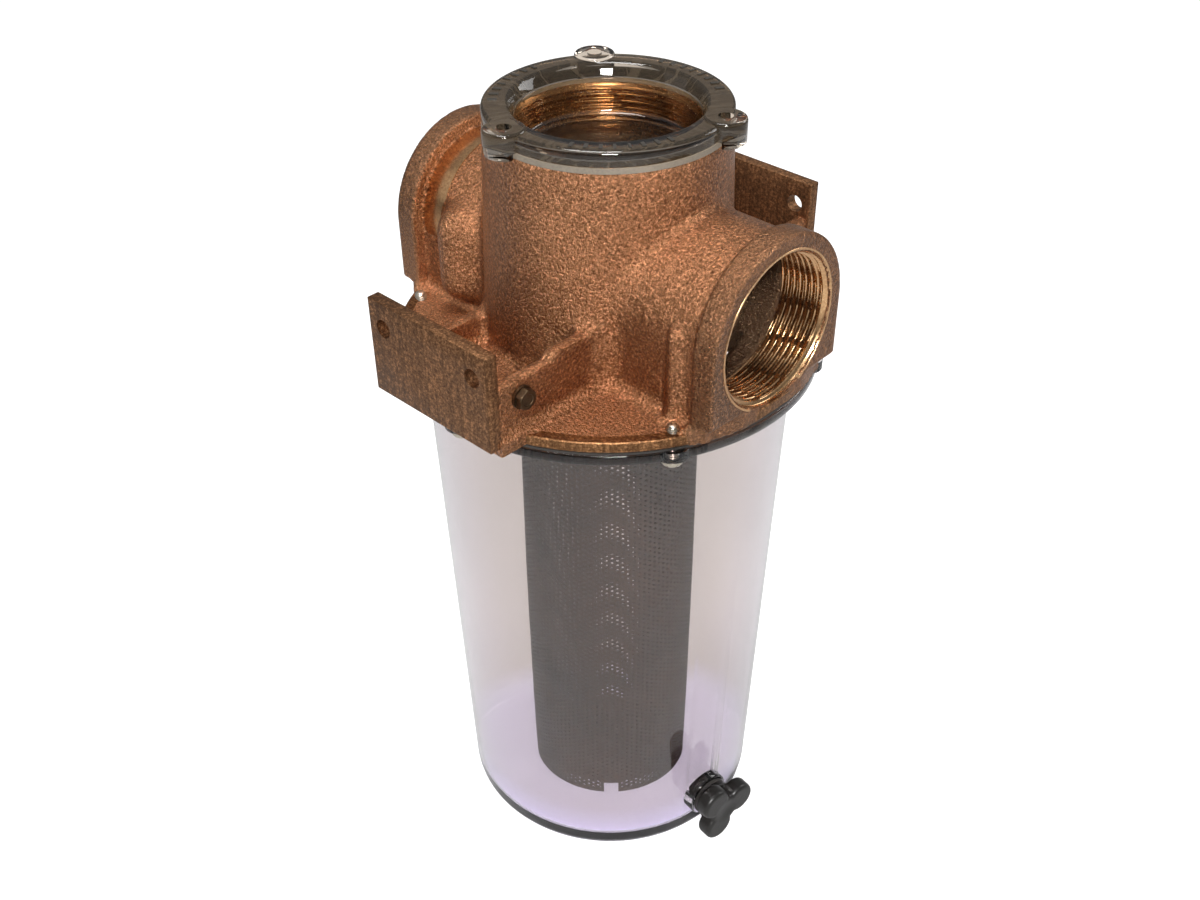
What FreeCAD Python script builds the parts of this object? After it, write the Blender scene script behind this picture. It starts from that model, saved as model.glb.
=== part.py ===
import FreeCAD
import Part
import Sketcher
import math
import os

os.makedirs("parts", exist_ok=True)

# Sea water strainer with clear sight bowl, 2 1/2 in pipe threads.
# Frame: millimetres, +Z up, origin at the centre of the bowl's underside, +X out of the outlet port.

# Driving dimensions, in millimetres unless a name says otherwise.
DIMENSIONS = {
    # cast neck and flange
    "flange_radius": 100.0,
    "flange_bottom": 286.0,
    "flange_thick": 5.5,
    "neck_foot_radius": 59.0,
    "neck_top_radius": 55.1,
    "neck_rise": 22.0,
    "neck_bore_radius": 44.0,
    "neck_foot_fillet": 7.0,
    "partition_thick": 6.0,
    "seat_hole_radius": 41.2,
    # pipe ports
    "port_floor": 1.7,
    "port_setback": 0.7,
    "port_thread_radius": 33.4,
    "port_thread_length": 26.0,
    "port_mouth_radius": 34.5,
    "port_mouth_depth": 1.6,
    "head_radius": 43.7,
    "head_thick": 12.0,
    "head_corner_rise": 4.1,
    "boss_radius": 40.0,
    "passage_radius": 33.9,
    "chamber_half_width": 26.0,
    "chamber_setback": 29.3,
    "rib_radius": 4.5,
    "rib_setback": 11.3,
    "rib_height": 44.0,
    # mounting arms and plates
    "plate_half_width": 37.2,
    "plate_gap": 4.5,
    "plate_thick": 6.2,
    "plate_rise": 4.0,
    "plate_height": 46.6,
    "plate_hole_offset": 28.1,
    "plate_hole_radius": 4.4,
    "plate_hole_rise": 34.1,
    "arm_outer": 36.0,
    "arm_thick": 6.0,
    "arm_height": 27.0,
    "gusset_run": 11.0,
    "gusset_rise": 16.0,
    # service cap
    "cap_radius": 55.0,
    "cap_ring_thick": 7.2,
    "cap_gasket_thick": 2.5,
    "cap_seal_inset": 0.3,
    "cap_skirt_clearance": 0.4,
    "cap_skirt_depth": 20.5,
    "cap_rounding": 2.0,
    "cap_cup_radius": 40.0,
    "cap_cup_fillet": 2.5,
    "cap_mouth_radius": 45.0,
    "cap_mouth_depth": 4.5,
    "cap_window_thick": 4.5,
    "cap_lug_radius": 9.5,
    "cap_lug_offset": 53.5,
    "cap_lug_rise": 1.0,
    "cap_lug_drop": 3.4,
    "cap_lug_clearance": 1.1,
    # sight bowl
    "bowl_base_radius": 79.5,
    "bowl_foot_radius": 77.7,
    "bowl_base_height": 4.0,
    "bowl_wall": 5.5,
    "bowl_floor": 6.0,
    "bowl_floor_fillet": 4.0,
    "bowl_flange_overhang": 0.3,
    "bowl_flange_thick": 5.3,
    "bowl_ear_radius": 8.0,
    "bowl_gasket_thick": 1.2,
    "bowl_gasket_inset": 0.3,
    "bowl_gasket_width": 14.5,
    # flange screws
    "bolt_inset": 5.4,
    "screw_radius": 3.0,
    "screw_clearance": 0.1,
    "screw_head_radius": 5.0,
    "screw_head_height": 3.8,
    "screw_tip_rise": 3.4,
    "washer_radius": 5.7,
    "washer_wall_gap": 0.2,
    "washer_thick": 1.2,
    # bonding bolt
    "bond_setback": 8.6,
    "bond_rise": 18.1,
    "bond_radius": 3.0,
    "bond_hex_width": 11.0,
    "bond_hex_height": 3.2,
    "bond_length": 12.0,
    "lock_washer_radius": 5.4,
    "lock_washer_thick": 1.4,
    # basket
    "basket_radius": 40.4,
    "basket_wall": 0.8,
    "basket_ring_radius": 42.2,
    "basket_ring_height": 3.5,
    "basket_ring_gap": 0.3,
    "basket_floor_lift": 8.5,
    "slot_width": 3.8,
    "slot_gap": 7.0,
    "slot_start": 16.0,
    "notch_width": 8.0,
    "notch_height": 8.0,
    # drain plug
    "drain_height": 27.0,
    "drain_boss_radius": 12.5,
    "drain_boss_reach": 6.5,
    "drain_bore_radius": 7.2,
    "drain_clearance": 0.3,
    "drain_shank_length": 11.2,
    "drain_seal_thick": 2.2,
    "drain_collar_radius": 10.8,
    "drain_collar_thick": 3.0,
    "drain_lobe_radius": 8.8,
    "drain_lobe_offset": 10.8,
    "drain_knob_thick": 9.0,
}

DRAIN_ANGLE = -7.5                        # degrees from +X, seen from above
DRAIN_LOBE_ANGLES = (8.0, 128.0, 248.0)   # degrees round the drain axis
CAP_LUG_ANGLES = (20.0, 140.0, 260.0)
SCREW_ANGLES = (-30.0, -90.0, -150.0, 150.0, 90.0, 30.0)
NOTCH_ANGLES = (-46.0, 134.0)
SCREEN_SIDES = 48                         # flats round the basket and the gaskets
SLOT_COLUMNS = 24
SLOT_ROWS = 5
SMALL_SIDES = 12                          # flats on a screw shank and its holes

doc = FreeCAD.newDocument("sea_water_strainer")
sheet = doc.addObject("Spreadsheet::Sheet", "Dims")
for row, (alias, value) in enumerate(DIMENSIONS.items(), start=1):
    sheet.set("A%d" % row, alias)
    sheet.set("B%d" % row, str(value))
    sheet.setAlias("B%d" % row, alias)
doc.recompute()

# Places that follow from the driving dimensions.
FLANGE_TOP = "( flange_bottom + flange_thick )"
PORT_HEIGHT = "( flange_bottom + flange_thick + port_thread_radius + port_floor )"
PORT_FACE = "( flange_radius - port_setback )"
NECK_TOP = "( flange_bottom + flange_thick + port_thread_radius + port_floor + head_radius + neck_rise )"
PLATE_INNER = "( flange_radius + plate_gap )"
PLATE_BOTTOM = "( flange_bottom + plate_rise )"
BOLT_CIRCLE = "( flange_radius - bolt_inset )"
ARM_ROOT = "( neck_bore_radius + 4 )"
BOND_DISTANCE = "( flange_radius - bond_setback )"
BOND_HEIGHT = "( flange_bottom + flange_thick + bond_rise )"
BOWL_TOP_RADIUS = "( flange_radius - bolt_inset - washer_radius - washer_wall_gap )"
BOWL_FLANGE_RADIUS = "( flange_radius + bowl_flange_overhang )"
GASKET_RADIUS = "( flange_radius - bowl_gasket_inset )"
DRAIN_FACE = "( bowl_base_radius + drain_boss_reach )"
DRAIN_ROOT = "( bowl_base_radius - bowl_wall / 2 )"

UP = FreeCAD.Rotation()
ALONG_X = FreeCAD.Rotation(FreeCAD.Vector(0, 1, 0), 90)
AGAINST_X = FreeCAD.Rotation(FreeCAD.Vector(0, 1, 0), -90)
ALONG_Y = FreeCAD.Rotation(FreeCAD.Vector(1, 0, 0), -90)
ALONG_DRAIN = FreeCAD.Rotation(FreeCAD.Vector(0, 0, 1), DRAIN_ANGLE).multiply(ALONG_X)


def driven(text):
    """Return an expression with every dimension name read from the sheet."""
    words = []
    for word in text.split():
        words.append("Dims." + word if word in DIMENSIONS else word)
    return " ".join(words)


def make(kind, name, sizes, at=("0", "0", "0"), turn=UP):
    """Add a primitive whose sizes and position follow the sheet."""
    solid = doc.addObject("Part::" + kind, name)
    solid.Placement = FreeCAD.Placement(FreeCAD.Vector(0, 0, 0), turn)
    for size, text in sizes.items():
        solid.setExpression(size, driven(text))
    for letter, text in zip("xyz", at):
        solid.setExpression("Placement.Base." + letter, driven(text))
    return solid


def cylinder(name, radius, height, at=("0", "0", "0"), turn=UP):
    return make("Cylinder", name, {"Radius": radius, "Height": height}, at, turn)


def cone(name, foot, top, height, at=("0", "0", "0"), turn=UP):
    return make("Cone", name, {"Radius1": foot, "Radius2": top, "Height": height}, at, turn)


def box(name, length, width, height, at=("0", "0", "0"), turn=UP):
    return make("Box", name, {"Length": length, "Width": width, "Height": height}, at, turn)


def prism(name, sides, radius, height, at=("0", "0", "0"), turn=UP):
    solid = make("Prism", name, {"Circumradius": radius, "Height": height}, at, turn)
    solid.Polygon = sides
    return solid


def bend(x, z, radius, start, end, steps=4):
    """Return the points of a rounded corner, from one angle to another, in degrees."""
    points = []
    for number in range(steps + 1):
        angle = start + (end - start) * number / steps
        points.append(("%s + ( %s ) * cos( %s deg )" % (x, radius, angle),
                       "%s + ( %s ) * sin( %s deg )" % (z, radius, angle)))
    return points


def revolve(name, points):
    """Turn a closed profile of (radius, height) points round the upright axis."""
    sketch = doc.addObject("Sketcher::SketchObject", name + "Profile")
    sketch.Placement = FreeCAD.Placement(FreeCAD.Vector(0, 0, 0),
                                         FreeCAD.Rotation(FreeCAD.Vector(1, 0, 0), 90))
    count = len(points)
    # The lines start as a regular polygon; the constraints then place each corner.
    corners = [FreeCAD.Vector(100 + 50 * math.cos(2 * math.pi * n / count),
                              100 + 50 * math.sin(2 * math.pi * n / count), 0) for n in range(count)]
    for number in range(count):
        sketch.addGeometry(Part.LineSegment(corners[number], corners[(number + 1) % count]), False)
    for number in range(count):
        sketch.addConstraint(Sketcher.Constraint("Coincident", number, 2, (number + 1) % count, 1))
    for number, (radius, height) in enumerate(points):
        if radius == "0":
            sketch.addConstraint(Sketcher.Constraint("PointOnObject", number, 1, -2))
        else:
            hold(sketch, Sketcher.Constraint("DistanceX", -1, 1, number, 1, corners[number].x), radius)
        if height == "0":
            sketch.addConstraint(Sketcher.Constraint("PointOnObject", number, 1, -1))
        else:
            hold(sketch, Sketcher.Constraint("DistanceY", -1, 1, number, 1, corners[number].y), height)
    turned = doc.addObject("Part::Revolution", name)
    turned.Source = sketch
    turned.Base = (0, 0, 0)
    turned.Axis = (0, 0, 1)
    turned.Angle = 360
    turned.Solid = True
    return turned


def hold(sketch, constraint, text):
    """Add a constraint whose value follows the sheet."""
    number = sketch.addConstraint(constraint)
    sketch.setExpression("Constraints[%d]" % number, driven(text))


def arch(name, radius, centre_height, foot_height, length, start):
    """Extrude a round-topped, flat-footed outline along +X."""
    sketch = doc.addObject("Sketcher::SketchObject", name + "Outline")
    sketch.Placement = FreeCAD.Placement(FreeCAD.Vector(0, 0, 0),
                                         FreeCAD.Rotation(FreeCAD.Vector(1, 1, 1), 120))
    sketch.setExpression("Placement.Base.x", driven(start))
    round_top = Part.Circle(FreeCAD.Vector(0, 300, 0), FreeCAD.Vector(0, 0, 1), 40)
    sketch.addGeometry(Part.ArcOfCircle(round_top, 0, math.pi), False)
    corners = [FreeCAD.Vector(-40, 300, 0), FreeCAD.Vector(-40, 200, 0),
               FreeCAD.Vector(40, 200, 0), FreeCAD.Vector(40, 300, 0)]
    for first, second in zip(corners, corners[1:]):
        sketch.addGeometry(Part.LineSegment(first, second), False)
    for first in range(4):
        second = (first + 1) % 4
        sketch.addConstraint(Sketcher.Constraint("Coincident", first, 2, second, 1))
    sketch.addConstraint(Sketcher.Constraint("Vertical", 1))
    sketch.addConstraint(Sketcher.Constraint("Horizontal", 2))
    sketch.addConstraint(Sketcher.Constraint("Vertical", 3))
    sketch.addConstraint(Sketcher.Constraint("PointOnObject", 0, 3, -2))
    hold(sketch, Sketcher.Constraint("Radius", 0, 40.0), radius)
    hold(sketch, Sketcher.Constraint("DistanceY", -1, 1, 0, 3, 300.0), centre_height)
    hold(sketch, Sketcher.Constraint("DistanceY", -1, 1, 0, 2, 300.0), centre_height)
    hold(sketch, Sketcher.Constraint("DistanceY", -1, 1, 0, 1, 300.0), centre_height)
    hold(sketch, Sketcher.Constraint("DistanceY", -1, 1, 2, 1, 200.0), foot_height)
    solid = doc.addObject("Part::Extrusion", name)
    solid.Base = sketch
    solid.DirMode = "Custom"
    solid.Dir = (1, 0, 0)
    solid.Solid = True
    solid.setExpression("LengthFwd", driven(length))
    return solid


def fuse(name, shapes):
    """Join several solids into one."""
    joined = doc.addObject("Part::MultiFuse", name)
    joined.Shapes = shapes
    joined.Refine = True
    return joined


def cut(name, base, tool):
    """Take one solid out of another."""
    rest = doc.addObject("Part::Cut", name)
    rest.Base = base
    rest.Tool = tool
    return rest


def polar(distance, angle):
    """Return the x and y expressions of a point on a circle."""
    return (distance + " * cos( %s deg )" % angle, distance + " * sin( %s deg )" % angle)


subparts = []


def finish(solid, label):
    """Give a finished sub-part its node name."""
    solid.Label = label
    subparts.append(solid)
    return solid


# ---------------------------------------------------------------- body casting
solids = [
    revolve("Neck", [("0", "flange_bottom"), ("flange_radius", "flange_bottom"),
                     ("flange_radius", FLANGE_TOP)]
            + bend("neck_foot_radius + neck_foot_fillet", FLANGE_TOP + " + neck_foot_fillet",
                   "neck_foot_fillet", 270, 180)
            + [("neck_top_radius", NECK_TOP), ("0", NECK_TOP)]),
]

for side, tag in ((1, "Out"), (-1, "In")):
    # A round-topped boss and a thicker head, both standing on the flange.
    near = "0" if side > 0 else "- " + PORT_FACE + " + head_thick"
    solids.append(arch(tag + "Boss", "boss_radius", PORT_HEIGHT, "flange_bottom",
                       PORT_FACE + " - head_thick", near))
    near = PORT_FACE + " - head_thick" if side > 0 else "- " + PORT_FACE
    head = arch(tag + "Head", "head_radius", PORT_HEIGHT, "flange_bottom", "head_thick", near)
    corner_block = box(tag + "CornerBlock", "head_thick + 20", "head_radius * 2 + 20",
                       "flange_thick + head_corner_rise",
                       (near + " - 10", "- head_radius - 10", "flange_bottom"))
    rim = cylinder(tag + "CornerRim", "flange_radius", "flange_thick + head_corner_rise",
                   ("0", "0", "flange_bottom"))
    solids.append(cut(tag + "HeadTrimmed", head, cut(tag + "Corner", corner_block, rim)))
    for hand in (1, -1):
        # Half-round rib beside each screw that flanks a port.
        at = ("( " + PORT_FACE + " - head_thick - rib_setback ) * %d" % side, "boss_radius * %d" % hand)
        name = tag + ("Left" if hand > 0 else "Right")
        solids.append(cylinder(name + "Rib", "rib_radius", "rib_height",
                               (at[0], at[1], FLANGE_TOP)))

for hand, tag in ((-1, "Front"), (1, "Rear")):
    near = PLATE_INNER if hand > 0 else "- " + PLATE_INNER + " - plate_thick"
    solids.append(box(tag + "Plate", "plate_half_width * 2", "plate_thick", "plate_height",
                      ("- plate_half_width", near, PLATE_BOTTOM)))
    near = "flange_radius * 0.5" if hand > 0 else "- " + PLATE_INNER + " - 1"
    solids.append(box(tag + "Tongue", "plate_half_width * 2",
                      PLATE_INNER + " + 1 - flange_radius * 0.5", "flange_thick",
                      ("- plate_half_width", near, "flange_bottom")))
    for side in (1, -1):
        name = tag + ("Right" if side > 0 else "Left")
        inner = "arm_outer - arm_thick" if side > 0 else "- arm_outer"
        near = ARM_ROOT if hand > 0 else "- " + PLATE_INNER + " - 1"
        solids.append(box(name + "Arm", "arm_thick", PLATE_INNER + " + 1 - " + ARM_ROOT,
                          "arm_height", (inner, near, FLANGE_TOP)))
        # Sloping gusset where the arm runs up into the neck.
        gusset = doc.addObject("Part::Wedge", name + "Gusset")
        for prop, text in (("Xmin", "0"), ("Xmax", "arm_thick"), ("Ymin", "0"),
                           ("Ymax", "gusset_rise"), ("Zmin", "0"),
                           ("Zmax", "gusset_run + gusset_rise - 5"),
                           ("X2min", "0"), ("X2max", "arm_thick"), ("Z2min", "0"),
                           ("Z2max", "gusset_run")):
            gusset.setExpression(prop, driven(text))
        # The wedge rises along +Z and its length runs away from the neck.
        turned = FreeCAD.Rotation(FreeCAD.Vector(1, 0, 0), 90)
        if hand > 0:
            turned = FreeCAD.Rotation(FreeCAD.Vector(0, 0, 1), 180).multiply(turned)
        gusset.Placement = FreeCAD.Placement(FreeCAD.Vector(0, 0, 0), turned)
        if hand > 0:
            inner = "arm_outer" if side > 0 else "- arm_outer + arm_thick"
        gusset.setExpression("Placement.Base.x", driven(inner))
        foot = ARM_ROOT if hand > 0 else "- " + ARM_ROOT
        gusset.setExpression("Placement.Base.y", driven(foot))
        gusset.setExpression("Placement.Base.z", driven(FLANGE_TOP + " + arm_height - 0.01"))
        solids.append(gusset)

casting = fuse("CastingOutside", solids)

hollows = [
    revolve("NeckBore", [("0", "flange_bottom - 1"), ("seat_hole_radius", "flange_bottom - 1"),
                         ("seat_hole_radius", FLANGE_TOP), ("neck_bore_radius", FLANGE_TOP),
                         ("neck_bore_radius", NECK_TOP + " + 1"), ("0", NECK_TOP + " + 1")]),
    cylinder("InletPassage", "passage_radius", PORT_FACE + " - port_thread_length",
             ("0", "0", PORT_HEIGHT), AGAINST_X),
    cylinder("InletThread", "port_thread_radius", "port_thread_length + 2",
             ("- " + PORT_FACE + " + port_thread_length + 1", "0", PORT_HEIGHT), AGAINST_X),
    cone("InletMouth", "port_thread_radius", "port_mouth_radius", "port_mouth_depth",
         ("- " + PORT_FACE + " + port_mouth_depth", "0", PORT_HEIGHT), AGAINST_X),
    cylinder("OutletThread", "port_thread_radius", "port_thread_length + 2",
             (PORT_FACE + " - port_thread_length - 1", "0", PORT_HEIGHT), ALONG_X),
    cone("OutletMouth", "port_thread_radius", "port_mouth_radius", "port_mouth_depth",
         (PORT_FACE + " - port_mouth_depth", "0", PORT_HEIGHT), ALONG_X),
    prism("BondHole", SMALL_SIDES, "bond_radius", "arm_thick + 2",
          ("arm_outer - arm_thick - 1", "- " + BOND_DISTANCE, BOND_HEIGHT), ALONG_X),
]

# The outlet turns down inside its boss and opens through the flange to the bowl.
chamber_round = cylinder("ChamberRound", "passage_radius",
                         PORT_FACE + " - port_thread_length - neck_bore_radius + 1",
                         ("neck_bore_radius", "0", PORT_HEIGHT), ALONG_X)
chamber_box = box("ChamberBox", PORT_FACE + " - chamber_setback - neck_bore_radius", "chamber_half_width * 2",
                  PORT_HEIGHT + " - flange_bottom + 1",
                  ("neck_bore_radius", "- chamber_half_width", "flange_bottom - 1"))
partition = cylinder("Partition", "neck_bore_radius + partition_thick",
                     NECK_TOP + " - flange_bottom + 2", ("0", "0", "flange_bottom - 2"))
hollows.append(cut("OutletChamber", fuse("ChamberAll", [chamber_round, chamber_box]), partition))

for hand, tag in ((-1, "Front"), (1, "Rear")):
    near = PLATE_INNER + " - 1" if hand > 0 else "- " + PLATE_INNER + " - plate_thick - 1"
    for side in (1, -1):
        hollows.append(cylinder(tag + ("Right" if side > 0 else "Left") + "PlateHole",
                                "plate_hole_radius", "plate_thick + 2",
                                ("plate_hole_offset * %d" % side, near, PLATE_BOTTOM + " + plate_hole_rise"),
                                ALONG_Y))

for number, angle in enumerate(SCREW_ANGLES, start=1):
    x, y = polar(BOLT_CIRCLE, angle)
    hollows.append(prism("CastScrewHole%d" % number, SMALL_SIDES, "screw_radius",
                         "flange_thick + 2", (x, y, "flange_bottom - 1")))

finish(cut("BodyCasting", casting, fuse("CastingHollows", hollows)), "body_casting")

# ---------------------------------------------------------------- service cap
RING_BOTTOM = NECK_TOP + " + cap_gasket_thick"
CAP_TOP = RING_BOTTOM + " + cap_ring_thick"
SKIRT_RADIUS = "neck_bore_radius - cap_skirt_clearance"
SKIRT_BOTTOM = NECK_TOP + " + cap_gasket_thick - cap_skirt_depth"

outer = prism("CapGasketOuter", SCREEN_SIDES * 2, "cap_radius", "cap_gasket_thick",
              ("0", "0", NECK_TOP))
inner = prism("CapGasketInner", SCREEN_SIDES, "neck_bore_radius + cap_seal_inset",
              "cap_gasket_thick + 2", ("0", "0", NECK_TOP + " - 1"))
finish(cut("CapGasket", outer, inner), "cap_gasket")

lugs = []
for number, angle in enumerate(CAP_LUG_ANGLES, start=1):
    x, y = polar("cap_lug_offset", angle)
    lugs.append(cylinder("CapLug%d" % number, "cap_lug_radius",
                         "cap_ring_thick + cap_lug_rise + cap_lug_drop",
                         (x, y, RING_BOTTOM + " - cap_lug_drop")))
neck_room = cylinder("CapNeckRoom", "neck_top_radius + cap_lug_clearance", "cap_lug_drop + 1",
                     ("0", "0", RING_BOTTOM + " - cap_lug_drop - 1"))
mouth_room = cylinder("CapMouthRoom", "cap_mouth_radius",
                      "cap_ring_thick + cap_lug_rise + cap_lug_drop + 2",
                      ("0", "0", RING_BOTTOM + " - cap_lug_drop - 1"))
lugs_clear = cut("CapLugsClear", fuse("CapLugs", lugs), fuse("CapLugRooms", [neck_room, mouth_room]))
turned = revolve("CapTurned", [
    ("0", SKIRT_BOTTOM), (SKIRT_RADIUS, SKIRT_BOTTOM), (SKIRT_RADIUS, RING_BOTTOM),
    ("cap_radius", RING_BOTTOM)]
    + bend("cap_radius - cap_rounding", CAP_TOP + " - cap_rounding", "cap_rounding", 0, 90)
    + [("cap_mouth_radius", CAP_TOP), ("cap_cup_radius", CAP_TOP + " - cap_mouth_depth")]
    + bend("cap_cup_radius - cap_cup_fillet", SKIRT_BOTTOM + " + cap_window_thick + cap_cup_fillet",
           "cap_cup_fillet", 0, -90)
    + [("0", SKIRT_BOTTOM + " + cap_window_thick")])
finish(fuse("ServiceCap", [turned, lugs_clear]), "service_cap")

# ---------------------------------------------------------------- sight bowl
BOWL_TOP = "flange_bottom - bowl_gasket_thick"
BOWL_FLANGE_BOTTOM = BOWL_TOP + " - bowl_flange_thick"
solids = [
    revolve("BowlTurned", [
        ("0", "0"), ("bowl_foot_radius", "0"), ("bowl_base_radius", "bowl_base_height"),
        (BOWL_TOP_RADIUS, BOWL_FLANGE_BOTTOM), (BOWL_FLANGE_RADIUS, BOWL_FLANGE_BOTTOM),
        (BOWL_FLANGE_RADIUS, BOWL_TOP), (BOWL_TOP_RADIUS + " - bowl_wall", BOWL_TOP)]
        + bend("bowl_base_radius - bowl_wall - bowl_floor_fillet", "bowl_floor + bowl_floor_fillet",
               "bowl_floor_fillet", 0, -90)
        + [("0", "bowl_floor")]),
    cylinder("DrainBoss", "drain_boss_radius", "drain_boss_reach + bowl_wall / 2",
             polar(DRAIN_ROOT, DRAIN_ANGLE) + ("drain_height",), ALONG_DRAIN),
]
hollows = [
    cylinder("DrainBore", "drain_bore_radius", "drain_boss_reach + bowl_wall * 3 + 1",
             polar("( bowl_base_radius - bowl_wall * 3 )", DRAIN_ANGLE) + ("drain_height",),
             ALONG_DRAIN),
]
for number, angle in enumerate(SCREW_ANGLES, start=1):
    x, y = polar(BOLT_CIRCLE, angle)
    solids.append(prism("BowlEar%d" % number, SMALL_SIDES * 2, "bowl_ear_radius",
                        "bowl_flange_thick", (x, y, BOWL_FLANGE_BOTTOM)))
    hollows.append(prism("BowlScrewHole%d" % number, SMALL_SIDES, "screw_radius + screw_clearance",
                         "bowl_flange_thick + 2", (x, y, BOWL_FLANGE_BOTTOM + " - 1")))
finish(cut("SightBowl", fuse("BowlSolid", solids), fuse("BowlHollows", hollows)), "sight_bowl")

outer = prism("BowlGasketOuter", SCREEN_SIDES * 2, GASKET_RADIUS, "bowl_gasket_thick",
              ("0", "0", BOWL_TOP))
holes = [prism("BowlGasketInner", SCREEN_SIDES, GASKET_RADIUS + " - bowl_gasket_width",
               "bowl_gasket_thick + 2", ("0", "0", BOWL_TOP + " - 1"))]
for number, angle in enumerate(SCREW_ANGLES, start=1):
    x, y = polar(BOLT_CIRCLE, angle)
    holes.append(prism("GasketScrewHole%d" % number, SMALL_SIDES, "screw_radius + screw_clearance",
                       "bowl_gasket_thick + 2", (x, y, BOWL_TOP + " - 1")))
finish(cut("BowlGasket", outer, fuse("BowlGasketHoles", holes)), "bowl_gasket")

# ---------------------------------------------------------------- flange screws
for number, angle in enumerate(SCREW_ANGLES, start=1):
    x, y = polar(BOLT_CIRCLE, angle)
    disc = prism("WasherDisc%d" % number, SMALL_SIDES * 2, "washer_radius", "washer_thick",
                 (x, y, BOWL_FLANGE_BOTTOM + " - washer_thick"))
    hole = prism("WasherHole%d" % number, SMALL_SIDES, "screw_radius + screw_clearance",
                 "washer_thick + 2", (x, y, BOWL_FLANGE_BOTTOM + " - washer_thick - 1"))
    finish(cut("Washer%d" % number, disc, hole), "bowl_washer_%d" % number)
    head = prism("ScrewHead%d" % number, SMALL_SIDES * 2, "screw_head_radius", "screw_head_height",
                 (x, y, BOWL_FLANGE_BOTTOM + " - washer_thick - screw_head_height"))
    shank = prism("ScrewShank%d" % number, SMALL_SIDES, "screw_radius",
                  "washer_thick + bowl_flange_thick + bowl_gasket_thick + flange_thick"
                  " + screw_tip_rise", (x, y, BOWL_FLANGE_BOTTOM + " - washer_thick"))
    finish(fuse("Screw%d" % number, [head, shank]), "bowl_screw_%d" % number)

# ---------------------------------------------------------------- bonding bolt
disc = prism("LockWasherDisc", SMALL_SIDES * 2, "lock_washer_radius", "lock_washer_thick",
             ("arm_outer", "- " + BOND_DISTANCE, BOND_HEIGHT), ALONG_X)
hole = prism("LockWasherHole", SMALL_SIDES, "bond_radius + screw_clearance", "lock_washer_thick + 2",
             ("arm_outer - 1", "- " + BOND_DISTANCE, BOND_HEIGHT), ALONG_X)
finish(cut("LockWasher", disc, hole), "lock_washer")

hexagon = prism("BondHex", 6, "bond_hex_width / sqrt( 3 )", "bond_hex_height",
                ("arm_outer + lock_washer_thick", "- " + BOND_DISTANCE, BOND_HEIGHT), ALONG_X)
shank = prism("BondShank", SMALL_SIDES, "bond_radius", "bond_length + lock_washer_thick",
              ("arm_outer - bond_length", "- " + BOND_DISTANCE, BOND_HEIGHT), ALONG_X)
finish(fuse("BondingBolt", [hexagon, shank]), "bonding_bolt")

# ---------------------------------------------------------------- basket
SEAT = FLANGE_TOP + " + basket_ring_gap"
SCREEN_HEIGHT = "( " + SEAT + " + basket_ring_height - bowl_floor )"
tube = prism("ScreenTube", SCREEN_SIDES, "basket_radius", SCREEN_HEIGHT, ("0", "0", "bowl_floor"))
openings = [prism("ScreenRoom", SCREEN_SIDES, "basket_radius - basket_wall", SCREEN_HEIGHT + " + 2",
                  ("0", "0", "bowl_floor - 1"))]
for number, angle in enumerate(NOTCH_ANGLES, start=1):
    # The box starts inside the wall and is centred on the notch line.
    start = "( basket_radius - basket_wall * 3 )"
    at = ("%s * cos( %s deg ) + notch_width / 2 * sin( %s deg )" % (start, angle, angle),
          "%s * sin( %s deg ) - notch_width / 2 * cos( %s deg )" % (start, angle, angle),
          "bowl_floor - 1")
    openings.append(box("Notch%d" % number, "basket_wall * 6", "notch_width", "notch_height + 1", at,
                        FreeCAD.Rotation(FreeCAD.Vector(0, 0, 1), angle)))

# Upright slots stand in for the fine perforation; each cuts two opposite walls.
SLOT_PITCH = "( ( flange_bottom - bowl_floor - slot_start * 2 ) / %d )" % SLOT_ROWS
for row in range(SLOT_ROWS):
    level = "bowl_floor + slot_start + " + SLOT_PITCH + " * %d + slot_gap / 2" % row
    for column in range(SLOT_COLUMNS // 2):
        angle = (column + 0.25) * 360.0 / SLOT_COLUMNS
        at = ("- ( basket_radius + 1 ) * cos( %s deg ) + slot_width / 2 * sin( %s deg )" % (angle, angle),
              "- ( basket_radius + 1 ) * sin( %s deg ) - slot_width / 2 * cos( %s deg )" % (angle, angle),
              level)
        openings.append(box("Slot%d_%d" % (row + 1, column + 1), "basket_radius * 2 + 2", "slot_width",
                            SLOT_PITCH + " - slot_gap", at,
                            FreeCAD.Rotation(FreeCAD.Vector(0, 0, 1), angle)))
finish(cut("BasketScreen", tube, fuse("ScreenOpenings", openings)), "basket_screen")

finish(prism("BasketFloor", SCREEN_SIDES, "basket_radius - basket_wall", "basket_wall",
             ("0", "0", "bowl_floor + basket_floor_lift")), "basket_floor")

outer = prism("BasketRingOuter", SCREEN_SIDES, "basket_ring_radius", "basket_ring_height",
              ("0", "0", SEAT))
inner = prism("BasketRingInner", SCREEN_SIDES, "basket_radius", "basket_ring_height + 2",
              ("0", "0", SEAT + " - 1"))
finish(cut("BasketTopRing", outer, inner), "basket_top_ring")

# ---------------------------------------------------------------- drain plug
disc = prism("DrainSealDisc", SMALL_SIDES * 3, "drain_collar_radius", "drain_seal_thick",
             polar(DRAIN_FACE, DRAIN_ANGLE) + ("drain_height",), ALONG_DRAIN)
hole = prism("DrainSealHole", SMALL_SIDES * 3, "drain_bore_radius", "drain_seal_thick + 2",
             polar("( " + DRAIN_FACE + " - 1 )", DRAIN_ANGLE) + ("drain_height",), ALONG_DRAIN)
finish(cut("DrainSeal", disc, hole), "drain_seal")

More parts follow.
